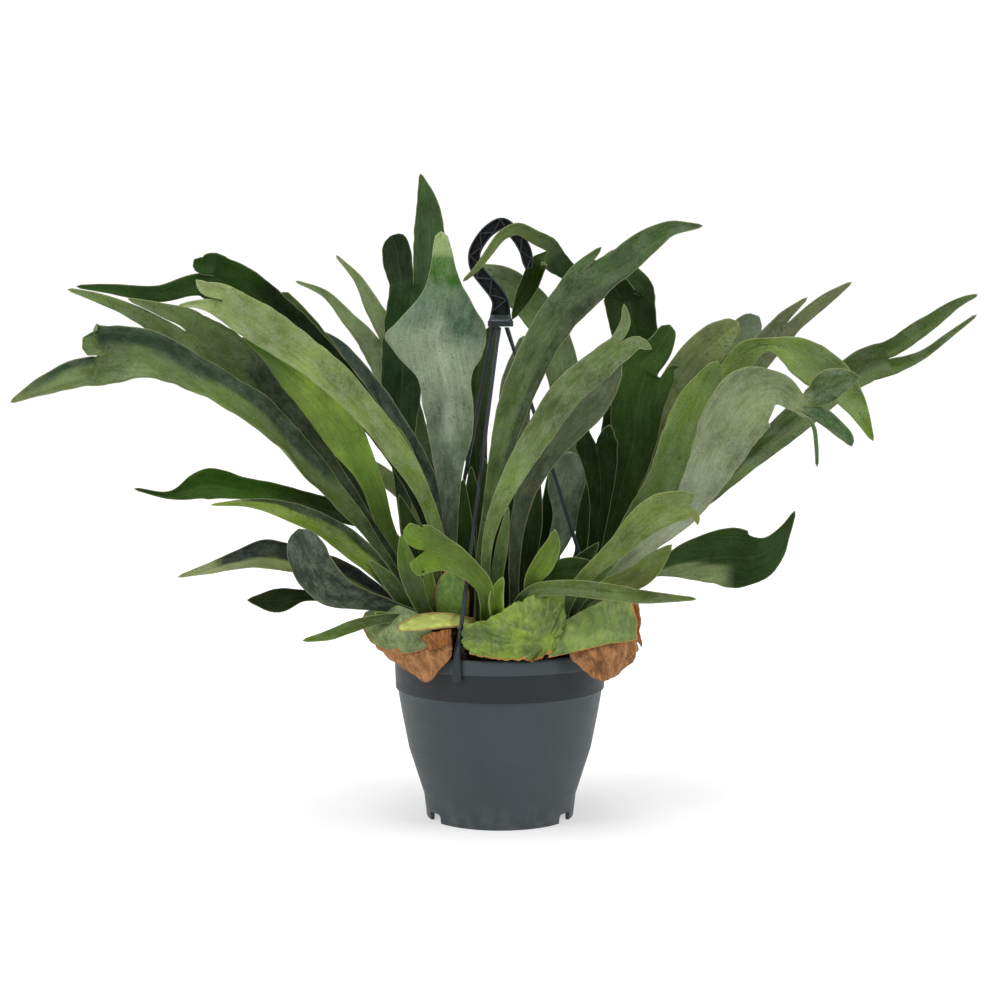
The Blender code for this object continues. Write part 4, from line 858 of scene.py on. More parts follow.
def makeShield(name, low, high, vein, edge, edgeWidth, blotch):
    # Living shield frond: thin, waxy, quilted by a net of veins, browning from its margin.
    made, tree = newMaterial(name)
    place = add(tree, "ShaderNodeTexCoord", out="Object")
    sheet = add(tree, "ShaderNodeUVMap", uv_map="leaf")
    margin = add(tree, "ShaderNodeAttribute", out="Fac", attribute_name="margin")
    patches = add(tree, "ShaderNodeTexNoise", {"Vector": place, "Scale": 38.0, "Detail": 4.0})
    mixed = add(tree, "ShaderNodeMapRange", {0: patches, 1: 0.36, 2: 0.64})
    bend = add(tree, "ShaderNodeTexNoise", {"Vector": place, "Scale": 55.0, "Detail": 3.0}, 1)
    bend = add(tree, "ShaderNodeVectorMath", {0: bend, 1: (0.9, 0.9, 0.0)}, operation="MULTIPLY")
    cells = add(tree, "ShaderNodeVectorMath", {0: sheet, 1: (13.0, 8.0, 1.0)},
                operation="MULTIPLY")  # meshes of the net 8 by 12 mm
    cells = add(tree, "ShaderNodeVectorMath", {0: cells, 1: bend}, operation="ADD")
    net = add(tree, "ShaderNodeTexVoronoi", {"Vector": cells, "Scale": 1.0}, "Distance",
              feature="DISTANCE_TO_EDGE")
    fine = add(tree, "ShaderNodeTexVoronoi", {"Vector": cells, "Scale": 3.2}, "Distance",
               feature="DISTANCE_TO_EDGE")
    faint = add(tree, "ShaderNodeTexNoise", {"Vector": place, "Scale": 30.0, "Detail": 2.0})
    shown = add(tree, "ShaderNodeMapRange", {0: faint, 1: 0.4, 2: 0.62, 3: 0.0, 4: 0.24})
    veins = add(tree, "ShaderNodeMapRange", {0: net, 1: 0.0, 2: 0.16, 3: 1.0, 4: 0.0})
    veinsOn = add(tree, "ShaderNodeMath", {0: veins, 1: shown}, operation="MULTIPLY")
    small = add(tree, "ShaderNodeMapRange", {0: fine, 1: 0.0, 2: 0.14, 3: 0.1, 4: 0.0})
    wander = add(tree, "ShaderNodeTexNoise", {"Vector": place, "Scale": 75.0, "Detail": 5.0})
    wander = add(tree, "ShaderNodeMath", {0: wander, 1: -edgeWidth * 3.0, 2: margin},
                 operation="MULTIPLY_ADD")
    rim = add(tree, "ShaderNodeMapRange",
              {0: wander, 1: -edgeWidth, 2: edgeWidth * 0.1, 3: 0.95, 4: 0.0})
    spots = add(tree, "ShaderNodeTexNoise",
                {"Vector": place, "Scale": 90.0, "Detail": 5.0, "Roughness": 0.7})
    spots = add(tree, "ShaderNodeMapRange", {0: spots, 1: 0.56, 2: 0.68, 4: blotch})
    colour = linear(low)
    for share, paint in ((mixed, high), (veinsOn, vein), (small, vein), (rim, edge),
                         (spots, "#6a5a30")):
        colour = add(tree, "ShaderNodeMix", {0: share, 6: colour, 7: linear(paint)}, 2,
                     data_type="RGBA")
    foldPlace = add(tree, "ShaderNodeVectorMath", {0: sheet, 1: (16.0, 12.0, 1.0)},
                    operation="MULTIPLY")  # puckers 6 mm apart
    folds = add(tree, "ShaderNodeTexNoise", {
        "Vector": foldPlace, "Scale": 1.0, "Detail": 4.0, "Roughness": 0.55, "Distortion": 0.8})
    # The puckers' noise also lightens and darkens the colour: painted light on their crests and
    # painted shade in their hollows.
    shade = add(tree, "ShaderNodeMapRange", {0: folds, 1: 0.35, 2: 0.65, 3: 0.78, 4: 1.2})
    colour = add(tree, "ShaderNodeHueSaturation", {"Color": colour, "Value": shade})
    quilt = add(tree, "ShaderNodeMapRange", {0: net, 1: 0.0, 2: 0.4, 3: 0.0, 4: 0.5})
    quilt = add(tree, "ShaderNodeMath", {0: folds, 1: 1.4, 2: quilt}, operation="MULTIPLY_ADD")
    return surfaced(made, tree, colour, 0.46, 0.45, quilt, 0.6, 0.0016)


def makeDry(name, low, high, dark):
    # Dead shield frond: brown paper, wrinkled from its base to its margin, matt.
    made, tree = newMaterial(name)
    place = add(tree, "ShaderNodeTexCoord", out="Object")
    sheet = add(tree, "ShaderNodeUVMap", uv_map="leaf")
    margin = add(tree, "ShaderNodeAttribute", out="Fac", attribute_name="margin")
    foldPlace = add(tree, "ShaderNodeVectorMath", {0: sheet, 1: (20.0, 6.0, 1.0)},
                    operation="MULTIPLY")  # wrinkles 5 mm apart
    folds = add(tree, "ShaderNodeTexNoise", {
        "Vector": foldPlace, "Scale": 1.0, "Detail": 5.0, "Roughness": 0.62, "Distortion": 1.4})
    mixed = add(tree, "ShaderNodeMapRange", {0: folds, 1: 0.38, 2: 0.62})
    stain = add(tree, "ShaderNodeTexNoise",
                {"Vector": place, "Scale": 60.0, "Detail": 5.0, "Roughness": 0.7})
    stain = add(tree, "ShaderNodeMapRange", {0: stain, 1: 0.5, 2: 0.66, 4: 0.8})
    rim = add(tree, "ShaderNodeMapRange", {0: margin, 1: 0.2, 2: 2.5, 3: 0.6, 4: 0.0})
    colour = linear(low)
    for share, paint in ((mixed, high), (stain, dark), (rim, dark)):
        colour = add(tree, "ShaderNodeMix", {0: share, 6: colour, 7: linear(paint)}, 2,
                     data_type="RGBA")
    fibres = add(tree, "ShaderNodeTexNoise", {"Vector": place, "Scale": 260.0, "Detail": 4.0})
    height = add(tree, "ShaderNodeMath", {0: fibres, 1: 0.25, 2: folds}, operation="MULTIPLY_ADD")
    return surfaced(made, tree, colour, 0.74, 0.25, height, 0.8, 0.003)


shieldLooks = {
    "fresh": makeShield("shield_fresh", "#3a500f", "#6a821e", "#93a542", "#a4642a", 3.4, 0.3),
    "olive": makeShield("shield_olive", "#46582a", "#6c7d44", "#87945a", "#8f5c2c", 3.4, 0.4),
    "browning": makeShield("shield_browning", "#486020", "#74893c", "#93a55a", "#b06c2c", 4.2, 0.3),
    "new": makeShield("shield_new", "#8c9840", "#a8b256", "#b9bf70", "#8c7038", 1.5, 0.1),
    "young": makeShield("shield_young", "#3a5a16", "#5a7c24", "#7c9440", "#7a5028", 1.6, 0.25),
}
dryLooks = {
    "dry": makeDry("shield_dry", "#6b3f1c", "#96602e", "#3e2410"),
    "dryPale": makeDry("shield_dry_pale", "#80552f", "#a87a50", "#553418"),
}
# Draped shields: points in rows from the top down, each from left to right.
drapes = {
    "shield_front_skirt": {
        "node": "shield_front", "look": "fresh", "brown": "bottom", "ragged": 0.26,
        "pleats": (44, 188, 4.2),  # they fan out from this x and z, and this is their height
        "grid": [
            [(-34, -97, 203), (-18, -92, 207), (-2, -87, 214), (14, -84, 223),
             (30, -83, 230), (46, -85, 234), (61, -87, 230)],
            [(-36, -101, 197), (-19, -98, 199), (-2, -95, 203), (15, -92, 210),
             (32, -90, 214), (48, -89, 218), (61, -89, 220)],
            [(-36, -104, 190), (-19, -104, 191), (-3, -104, 191), (15, -101, 196),
             (33, -98, 201), (49, -95, 207), (62, -93, 212)],
            [(-33, -107, 184), (-18, -108, 183), (-2, -110, 181), (16, -108, 182),
             (33, -106, 186), (48, -103, 191), (59, -99, 198)],
            [(-28, -109, 178), (-16, -109, 175), (-1, -109, 173), (16, -108, 172),
             (31, -108, 172), (43, -106, 175), (52, -104, 182)],
        ],
    },
    "shield_right_wing": {
        "node": "shield_right", "look": "browning", "brown": "bottom right",
        "grid": [
            [(59, -88, 206), (76, -82, 214), (91, -76, 221), (105, -70, 225),
             (117, -63, 226), (127, -56, 224)],
            [(56, -95, 197), (74, -90, 203), (92, -84, 209), (106, -77, 213),
             (119, -69, 215), (129, -61, 214)],
            [(53, -101, 187), (72, -97, 192), (91, -91, 197), (107, -84, 200),
             (121, -75, 203), (131, -66, 203)],
            [(47, -105, 177), (68, -101, 181), (89, -95, 186), (107, -88, 189),
             (121, -79, 189), (131, -69, 191)],
            [(45, -106, 174), (67, -102, 178), (88, -96, 182), (107, -89, 185),
             (121, -80, 185), (132, -70, 186)],
        ],
    },
    "shield_left_apron": {
        "node": "shield_left", "look": "olive", "brown": "bottom left",
        "grid": [
            [(-130, -58, 211), (-115, -60, 216), (-99, -62, 217),
             (-84, -68, 214), (-68, -78, 208)],
            [(-133, -66, 202), (-116, -70, 204), (-99, -75, 204),
             (-81, -81, 201), (-65, -88, 198)],
            [(-129, -73, 193), (-114, -79, 191), (-96, -85, 189),
             (-79, -91, 189), (-63, -96, 192)],
            [(-123, -77, 184), (-108, -84, 178), (-91, -91, 175),
             (-76, -96, 179), (-61, -100, 186)],
        ],
    },
    "dead_left_fold": {
        "node": "dead_shield_left", "look": "dry", "brown": "bottom left right",
        "grid": [
            [(-75, -99, 193), (-65, -101, 197), (-54, -103, 200), (-46, -104, 201)],
            [(-71, -102, 186), (-62, -104, 190), (-53, -106, 193), (-46, -106, 194)],
            [(-66, -103, 180), (-58, -105, 182), (-51, -106, 186), (-46, -106, 189)],
        ],
    },
    "dead_left_flap": {
        "node": "dead_shield_left", "look": "dryPale", "brown": "bottom left right",
        "grid": [
            [(-122, -70, 191), (-105, -79, 190), (-87, -84, 188),
             (-66, -90, 190), (-46, -97, 192)],
            [(-121, -74, 185), (-103, -86, 179), (-85, -93, 174),
             (-64, -99, 179), (-45, -104, 184)],
            [(-119, -75, 182), (-101, -87, 172), (-77, -96, 162),
             (-59, -100, 171), (-46, -104, 179)],
            [(-117, -75, 179), (-99, -88, 166), (-70, -97, 150),
             (-55, -101, 164), (-46, -104, 175)],
        ],
    },
    "dead_right_flap": {
        "node": "dead_shield_right", "look": "dryPale", "brown": "bottom left right",
        "grid": [
            [(64, -95, 182), (81, -90, 187), (98, -85, 190), (115, -78, 193), (130, -68, 194)],
            [(68, -101, 172), (85, -98, 172), (101, -93, 173), (117, -84, 176), (133, -72, 178)],
            [(75, -101, 165), (88, -98, 163), (103, -93, 163), (116, -85, 166), (130, -74, 172)],
            [(81, -100, 159), (91, -97, 152), (102, -93, 151), (114, -85, 156), (126, -76, 165)],
        ],
    },
    "dead_right_ruffle": {
        "node": "dead_shield_right", "look": "dry", "brown": "right left",
        "grid": [
            [(119, -58, 238), (124, -56, 244), (129, -54, 239)],
            [(125, -58, 224), (129, -55, 228), (133, -52, 223)],
            [(128, -60, 211), (133, -57, 213), (135, -54, 208)],
            [(128, -64, 196), (134, -61, 197), (136, -58, 192)],
            [(126, -70, 186), (132, -66, 183), (135, -64, 177)],
        ],
    },
}


def splineWeights(count, t):
    # Catmull-Rom shares of count points at t, which runs from 0 to count - 1.
    first = min(max(int(t), 0), count - 2)
    u = t - first
    shares = np.zeros(count)
    for index, share in ((first - 1, -u / 2 + u * u - u**3 / 2),
                         (first, 1 - 2.5 * u * u + 1.5 * u**3),
                         (first + 1, u / 2 + 2 * u * u - 1.5 * u**3),
                         (first + 2, -u * u / 2 + u**3 / 2)):
        shares[min(max(index, 0), count - 1)] += share
    return shares


drapeForm = {  # lengths in mm
    "step": 1.3,
    "ragged": {"living": 0.06, "dead": 0.09},
    "bites": ((1, 9, 0), (0.6, 3, 5)),  # share, run and seed of the tears
    "torn": 40,  # margins of this length are torn as given, and shorter ones more
    "tornMost": 1.6,
    "ruffle": (2.4, 11, 9),  # height, run and reach from the margin
    "wrinkles": {  # height, runs in x and z, and seed
        "living": ((0.9, 9, 9, 3),),
        "dead": ((2.2, 10, 14, 3), (1.1, 3.6, 6, 6)),
    },
    "pleats": ((1, 5, 45, 8), (0.5, 13, 30, 9)),  # share, turns, run outwards and seed
    "pleatsFrom": 14,
}


def drape(name, shape, seed):
    # A limp shield through its grid of points, ragged and ruffled at its margin.
    grid = np.array(shape["grid"], float)
    rows, columns = grid.shape[:2]
    kind = "dead" if shape["look"] in dryLooks else "living"
    ragged = shape.get("ragged", drapeForm["ragged"][kind])
    wide = np.linalg.norm(np.diff(grid[rows // 2], axis=0), axis=1).sum()
    tall = np.linalg.norm(np.diff(grid[:, columns // 2], axis=0), axis=1).sum()
    across, down = int(wide / drapeForm["step"]), int(tall / drapeForm["step"])
    surface = np.zeros((down + 1, across + 1, 3))
    facts = np.zeros((down + 1, across + 1, 6))
    edges = np.zeros((down + 1, across + 1))
    for j in range(down + 1):
        v = j / down
        for i in range(across + 1):
            u = i / across
            places = []
            for t, along, size in ((u, v * tall, wide), (v, u * wide, tall)):
                # each of the four margins has a seed of its own
                side = seed + (7 if t > 0.5 else 0) + (40 if size == tall else 0)
                bite = sum(share * noise.noise((along / run, side, own))
                           for share, run, own in drapeForm["bites"])
                torn = min(drapeForm["torn"] / size, drapeForm["tornMost"])
                places.append(0.5 + (t - 0.5) * (1 + ragged * torn * bite))
            shares = splineWeights(rows, places[1] * (rows - 1))
            row = np.tensordot(shares, grid, 1)
            surface[j, i] = splineWeights(columns, places[0] * (columns - 1)) @ row
            reach = {"left": u * wide, "right": (1 - u) * wide, "top": v * tall,
                     "bottom": (1 - v) * tall}
            near = min(reach.values())
            browned = [reach[side] for side in shape.get("brown", "").split()]
            margin = min(browned, default=99) + 0.3 * near  # 99 is past all browning
            edges[j, i] = near
            facts[j, i] = (2 * u - 1, margin, (u - 0.5) * wide, 100 + v * tall, 0, 0)
    normals = np.cross(np.gradient(surface, axis=1), np.gradient(surface, axis=0))
    normals /= np.maximum(np.linalg.norm(normals, axis=2), 1e-9)[..., None]
    for j in range(down + 1):
        for i in range(across + 1):
            x, y, z = surface[j, i]
            ruffle, run, fade = drapeForm["ruffle"]
            edge = math.exp(-edges[j, i] / fade)
            lift = ruffle * edge * noise.noise((x / run, z / run, seed))
            for height, runX, runZ, own in drapeForm["wrinkles"][kind]:
                lift += height * noise.noise((x / runX, z / runZ, seed + own))
            if "pleats" in shape:
                fromX, fromZ, height = shape["pleats"]
                turn = math.atan2(z - fromZ, x - fromX)
                far = math.hypot(x - fromX, z - fromZ)
                fold = sum(share * noise.noise((turn * turns, far / run, seed + own))
                           for share, turns, run, own in drapeForm["pleats"])
                lift += height * fold * min(far / drapeForm["pleatsFrom"], 1)
            surface[j, i] += normals[j, i] * lift
    sheet = Sheet({}, seed)
    sheet.points = [tuple(p) for p in surface.reshape(-1, 3)]
    sheet.facts = facts.reshape(-1, 6).tolist()
    for j in range(down):
        old = range(j * (across + 1), (j + 1) * (across + 1))
        sheet.join(old, [i + across + 1 for i in old])
    mesh = thicken(sheet, name, {}, 0.4, 1.0)
    meshObject(name, mesh, {**shieldLooks, **dryLooks}[shape["look"]], shape["node"])


for seed, (name, blade) in enumerate(shields.items()):
    growBlade(name, blade, shieldLooks, seed * 2.9 + 50, 0.5, 1.2)
for seed, (name, shape) in enumerate(drapes.items()):
    drape(name, shape, seed * 3.1 + 60)
print("shields grown:", len(shields) + len(drapes))


def around(radius, degrees, z):
    turn = math.radians(degrees)
    return Vector((radius * math.sin(turn), -radius * math.cos(turn), z))


def meshFrom(name, made):
    mesh = bpy.data.meshes.new(name)
    made.to_mesh(mesh)
    made.free()
    return mesh


def lathe(name, profile, segments):
    # Closed solid of revolution; profile starts and ends on the axis.
    made = bmesh.new()
    rings = []
    for radius, height in profile:
        if radius == 0:
            rings.append([made.verts.new((0, 0, height * mm))])
            continue
        rings.append([
            made.verts.new(around(radius, 360 * i / segments, height) * mm) for i in range(segments)
        ])
    for a, b in zip(rings, rings[1:]):
        for i in range(segments):
            j = (i + 1) % segments
            face = [a[i % len(a)], a[j % len(a)], b[j % len(b)], b[i % len(b)]]
            made.faces.new(list(dict.fromkeys(face)))
    bmesh.ops.recalc_face_normals(made, faces=made.faces)
    return meshFrom(name, made)


def softened(profile, reach, steps=3):
    # The same profile with each corner rounded over reach.
    points = [Vector(p) for p in profile]
    out = [points[0]]
    for before, corner, after in zip(points, points[1:], points[2:]):
        a = corner + (before - corner).normalized() * min(reach, (before - corner).length * 0.4)
        b = corner + (after - corner).normalized() * min(reach, (after - corner).length * 0.4)
        for i in range(steps + 1):
            t = i / steps
            out.append(a * (1 - t) ** 2 + corner * 2 * t * (1 - t) + b * t * t)
    return [tuple(p) for p in [*out, points[-1]]]


def makePlastic(name, base, worn, rough, dusty=0.0, shadeBands=()):
    # Injection-moulded polypropylene: even, faintly grained, paler where it is rubbed. A band of
    # painted shade is from, to, its colour and its strength, and dust gathers on the lowest 30 mm.
    made, tree = newMaterial(name)
    place = add(tree, "ShaderNodeTexCoord", out="Object")
    height = add(tree, "ShaderNodeSeparateXYZ", {0: place}, 2)
    tone = add(tree, "ShaderNodeTexNoise", {"Vector": place, "Scale": 9.0, "Detail": 4.0})
    layers = [(add(tree, "ShaderNodeMapRange", {0: tone, 1: 0.3, 2: 0.7}), worn)]
    # Each band darkens the plastic between two heights: painted shade.
    for low, high, shadeColour, strength in shadeBands:
        below = add(tree, "ShaderNodeMapRange", {0: height, 1: low * mm, 2: (low + 0.6) * mm})
        above = add(tree, "ShaderNodeMapRange",
                    {0: height, 1: (high - 0.6) * mm, 2: high * mm, 3: strength, 4: 0.0})
        inShadeBand = add(tree, "ShaderNodeMath", {0: below, 1: above}, operation="MULTIPLY")
        layers.append((inShadeBand, shadeColour))
    scuffPlace = add(tree, "ShaderNodeVectorMath", {0: place, 1: (60.0, 60.0, 190.0)},
                     operation="MULTIPLY")  # rubbed streaks 5 mm high
    scuffs = add(tree, "ShaderNodeTexNoise",
                 {"Vector": scuffPlace, "Scale": 1.0, "Detail": 5.0, "Roughness": 0.7})
    layers.append((add(tree, "ShaderNodeMapRange", {0: scuffs, 1: 0.58, 2: 0.75, 4: 0.22}), worn))
    if dusty:
        low = add(tree, "ShaderNodeMapRange", {0: height, 1: 0.03, 2: 0.0})
        dust = add(tree, "ShaderNodeTexNoise", {"Vector": place, "Scale": 60.0, "Detail": 5.0})
        dust = add(tree, "ShaderNodeMapRange", {0: dust, 1: 0.45, 2: 0.7, 4: dusty})
        dust = add(tree, "ShaderNodeMath", {0: low, 1: dust}, operation="MULTIPLY")
        layers.append((dust, "#8a8578"))
    colour = linear(base)
    for share, paint in layers:
        colour = add(tree, "ShaderNodeMix", {0: share, 6: colour, 7: linear(paint)}, 2,
                     data_type="RGBA")
    grain = add(tree, "ShaderNodeTexNoise",  # mould grain, drawn at 1 mm
                {"Vector": place, "Scale": 900.0, "Detail": 3.0})
    roughness = add(tree, "ShaderNodeMapRange",
                    {0: scuffs, 1: 0.35, 2: 0.7, 3: rough, 4: rough + 0.1})
    return surfaced(made, tree, colour, roughness, 0.3, grain, 0.12, 0.0003)


# The dark band from 129 to 156.4 mm, under the rim's lip, is painted shade cast by the rim.
potPlastic = makePlastic("pot_plastic", "#333a3d", "#3d4447", 0.48, 0.25,
                         [(129, 156.4, "#15191c", 0.9)])
hangerPlastic = makePlastic("hanger_plastic", "#151b1e", "#2c3337", 0.36)
channelShadePlastic = makePlastic("hanger_channel_shade", "#121618", "#1d2225", 0.5)  # darker than the hook's plastic: painted shade inside the channel

potShape = {
    "outer": [(69.0, 12.0), (69.5, 0.0), (73.0, 0.0), (75.5, 22.0), (83.0, 45.5), (90.5, 69.0),
              (97.5, 105.0), (101.2, 127.0), (103.4, 129.0), (104.4, 155.0), (106.0, 156.5),
              (106.0, 168.5), (104.8, 170.5)],
    "inner": [(102.0, 170.5), (101.0, 131.0), (95.5, 105.0), (88.5, 69.0), (81.0, 45.5),
              (73.5, 22.0), (72.0, 15.0)],
    "segments": 144,
    "round": 0.7,  # the corners' radius
    "floor": (12.0, 15.0),  # the floor's underside and top
    "sharp": 35,  # degrees
    "notches": (60.0, 180.0, 300.0),
    "notchRadius": 71,
    "notchDeep": 9,  # to each side of its radius
    "notch": [(-10, -5), (10, -5), (10, 6.5), (8.5, 8.6), (6.5, 9), (-6.5, 9), (-8.5, 8.6),
              (-10, 6.5)],
    "drains": 6,
    "drainCircle": 44,
    "drainRadius": 4.5,
    "drainTurn": 0.57,  # of a drain's share of the circle
}


def cutAway(body, mesh):
    cutter = linked("cutter", mesh)
    cut = body.modifiers.new("cut", "BOOLEAN")
    cut.operation = "DIFFERENCE"
    cut.solver = "EXACT"
    cut.object = cutter
    bake(body)
    bpy.data.objects.remove(cutter)


def bake(body):
    # Keeps what the modifiers make and drops them.
    graph = bpy.context.evaluated_depsgraph_get()
    fresh = bpy.data.meshes.new_from_object(body.evaluated_get(graph), depsgraph=graph)
    body.modifiers.clear()
    body.data = fresh
    for polygon in fresh.polygons:
        polygon.use_smooth = True


def loft(name, rings):
    made = bmesh.new()
    loops = [[made.verts.new(p * mm) for p in ring] for ring in rings]
    count = len(loops[0])
    for a, b in zip(loops, loops[1:]):
        for i in range(count):
            made.faces.new((a[i], a[(i + 1) % count], b[(i + 1) % count], b[i]))
    made.faces.new(loops[0])
    made.faces.new(list(reversed(loops[-1])))
    bmesh.ops.recalc_face_normals(made, faces=made.faces)
    return meshFrom(name, made)


def sharpen(mesh, degrees=40):
    # Makes the edges of more than so many degrees sharp.
    made = bmesh.new()
    made.from_mesh(mesh)
    for edge in made.edges:
        edge.smooth = len(edge.link_faces) != 2 or edge.calc_face_angle() < math.radians(degrees)
    made.to_mesh(mesh)
    made.free()


def buildPot():
    # The first and last points given to softened only aim the corners next to them.
    under, top = potShape["floor"]
    outline, lining, corner = potShape["outer"], potShape["inner"], potShape["round"]
    outer = softened([(66.0, under), *outline, lining[0]], corner)[1:-1]
    inner = softened([outline[-1], *lining, (60, top)], corner)[1:-1]
    mesh = lathe("pot", [(0, under), *outer, *inner, (0, top)], potShape["segments"])
    pot = meshObject("pot_shell", mesh, potPlastic, "pot")
    for angle in potShape["notches"]:
        centre, out = around(potShape["notchRadius"], angle, 0), around(1, angle, 0)
        side = out.cross(Vector((0, 0, 1)))
        rings = [[centre + side * u + out * v + Vector((0, 0, w)) for u, w in potShape["notch"]]
                 for v in (-potShape["notchDeep"], potShape["notchDeep"])]
        cutAway(pot, loft("notch", rings))
    for index in range(potShape["drains"]):
        turn = 360 * (index + potShape["drainTurn"]) / potShape["drains"]
        centre = around(potShape["drainCircle"], turn, 0)
        rings = [[centre + around(potShape["drainRadius"], 18 * i, z) for i in range(20)]
                 for z in (4, 20)]  # through the floor
        cutAway(pot, loft("drain", rings))
    sharpen(pot.data, potShape["sharp"])


buildPot()
print("pot built")


def makeEarth(name, low, high, dark, scale, depth):
    # Crumbs of bark, peat or rhizome scale, matt, each crumb a tone of its own.
    made, tree = newMaterial(name)
    place = add(tree, "ShaderNodeTexCoord", out="Object")
    lumps = add(tree, "ShaderNodeTexNoise",
                {"Vector": place, "Scale": scale, "Detail": 6.0, "Roughness": 0.7})
    crumbs = add(tree, "ShaderNodeTexVoronoi", {"Vector": place, "Scale": scale * 1.4})
    mixed = add(tree, "ShaderNodeMapRange", {0: lumps, 1: 0.35, 2: 0.65})
    pick = add(tree, "ShaderNodeSeparateColor", {0: crumbs.node.outputs["Color"]})
    pick = add(tree, "ShaderNodeMapRange", {0: pick, 1: 0.55, 2: 0.9, 4: 0.7})
    colour = linear(low)
    for share, paint in ((mixed, high), (pick, dark)):
        colour = add(tree, "ShaderNodeMix", {0: share, 6: colour, 7: linear(paint)}, 2,
                     data_type="RGBA")
    height = add(tree, "ShaderNodeMath", {0: lumps, 1: crumbs}, operation="SUBTRACT")
    return surfaced(made, tree, colour, 0.9, 0.2, height, 0.9, depth)


earth = makeEarth("potting_mix", "#33240f", "#4a371f", "#180f07", 160.0, 0.003)  # 6 mm bark
rhizomeBrown = makeEarth("rhizome_brown", "#2a2408", "#46381a", "#151004", 260.0, 0.002)
scaleBrown = makeEarth("rhizome_scale", "#45341a", "#6f5630", "#241a0c", 400.0, 0.001)

mixShape = {
    "gap": 0.3,  # to the pot's wall and floor
    "edge": (0.729, 157.6),  # how far the top's edge is outside the wall's last corner
    "top": 157.9,
    "rings": 40,
    "radius": 101.0,
    "segments": 96,
    "loose": (157, 100),  # crumbs lie above this height, within this radius
    "crumbs": ((1, 7, 3), (0.6, 2.6, 8)),  # share, run and seed
    "hollow": 0.7,  # half of how deep the crumbs' hollows go
}


def buildMix():
    gap, radius, rings = mixShape["gap"], mixShape["radius"], mixShape["rings"]
    floorTop = potShape["floor"][1]
    inside = [(r - gap, z + (gap if z == floorTop else 0)) for r, z in potShape["inner"][:0:-1]]
    wider, edge = mixShape["edge"]
    surface = [(inside[-1][0] + wider, edge)]
    surface += [(radius - radius * i / rings, mixShape["top"]) for i in range(1, rings)]
    profile = [(0, floorTop + gap), *inside, *surface, (0, mixShape["top"])]
    mesh = lathe("mix", profile, mixShape["segments"])
    for vertex in mesh.vertices:
        x, y, z = (v / mm for v in vertex.co)
        if z > mixShape["loose"][0] and math.hypot(x, y) < mixShape["loose"][1]:
            bump = sum(share * noise.noise((x / run, y / run, own))
                       for share, run, own in mixShape["crumbs"])
            hollow = mixShape["hollow"]
            vertex.co.z -= (hollow + hollow * min(max(bump, -1), 1)) * mm
    meshObject("mix_plug", mesh, earth, "potting_mix")


scaleShape = {"Density": 45000.0, "Length": 0.0045, "Width": 0.0005, "Spread": 1.2}


def makeScaleTree():
    # Scatters rhizome scales over a body and turns each its own way.
    tree = bpy.data.node_groups.new("rhizome_scales", "GeometryNodeTree")
    tree.interface.new_socket("Geometry", in_out="INPUT", socket_type="NodeSocketGeometry")
    tree.interface.new_socket("Geometry", in_out="OUTPUT", socket_type="NodeSocketGeometry")
    sockets = {}
    for key, value in {**scaleShape, "Seed": 3}.items():
        kind = "NodeSocketInt" if key == "Seed" else "NodeSocketFloat"
        socket = tree.interface.new_socket(key, in_out="INPUT", socket_type=kind)
        socket.default_value = value
        sockets[key] = socket.identifier
    given = add(tree, "NodeGroupInput").node.outputs
    spread = add(tree, "GeometryNodeDistributePointsOnFaces", {
        "Mesh": given["Geometry"], "Density": given["Density"], "Seed": given["Seed"]},
        distribute_method="RANDOM")
    scale = add(tree, "GeometryNodeMeshCone", {
        "Vertices": 3, "Radius Top": 0.0001, "Radius Bottom": given["Width"],
        "Depth": given["Length"]}, fill_type="NONE")
    least = add(tree, "ShaderNodeMath", {0: given["Spread"], 1: -1.0}, operation="MULTIPLY")
    tilt = add(tree, "FunctionNodeRandomValue", {
        0: add(tree, "ShaderNodeCombineXYZ", {0: least, 1: least, 2: -3.0}),
        1: add(tree, "ShaderNodeCombineXYZ", {0: given["Spread"], 1: given["Spread"], 2: 3.0}),
        "Seed": given["Seed"]}, data_type="FLOAT_VECTOR")
    placed = add(tree, "GeometryNodeInstanceOnPoints", {
        "Points": spread, "Instance": scale, "Rotation": spread.node.outputs["Rotation"]})
    turned = add(tree, "GeometryNodeRotateInstances", {"Instances": placed, "Rotation": tilt})
    real = add(tree, "GeometryNodeRealizeInstances", {0: turned})
    painted = add(tree, "GeometryNodeSetMaterial", {"Geometry": real, "Material": scaleBrown})
    add(tree, "NodeGroupOutput", {0: painted})
    return tree, sockets


scaleTree = makeScaleTree()
mounds = {  # centre x, y and half widths
    "rhizome_left": (-72.0, -6.0, 30.0, 62.0),
    "rhizome_middle": (3.0, -4.0, 38.0, 84.0),
    "rhizome_right": (76.0, -5.0, 28.0, 62.0),
}
moundForm = {  # lengths in mm
    "bottom": 158.3,
    "height": 38.9,
    "levels": 16,
    "top": 197.3,
    "flatFrom": 197,  # from here up the lumps are in the height
    "topRings": 12,
    "segments": 96,
    "waist": 0.86,  # share of the half widths at the bottom
    "swelling": (0.18, 1.4),  # by how much it widens, and how soon
    "shoulder": (0.05, 0.75),  # by how much it narrows, from this share of its height
    "square": 0.7,  # 1 is an ellipse, and less is squarer
    "within": 97,  # the pot's wall
    "lumps": ((1, 9), (0.5, 3.5)),  # share and run
    "rough": (1.8, 1.4),  # the sides' lumps, and how far they are set in
    "topSink": 0.8,
}


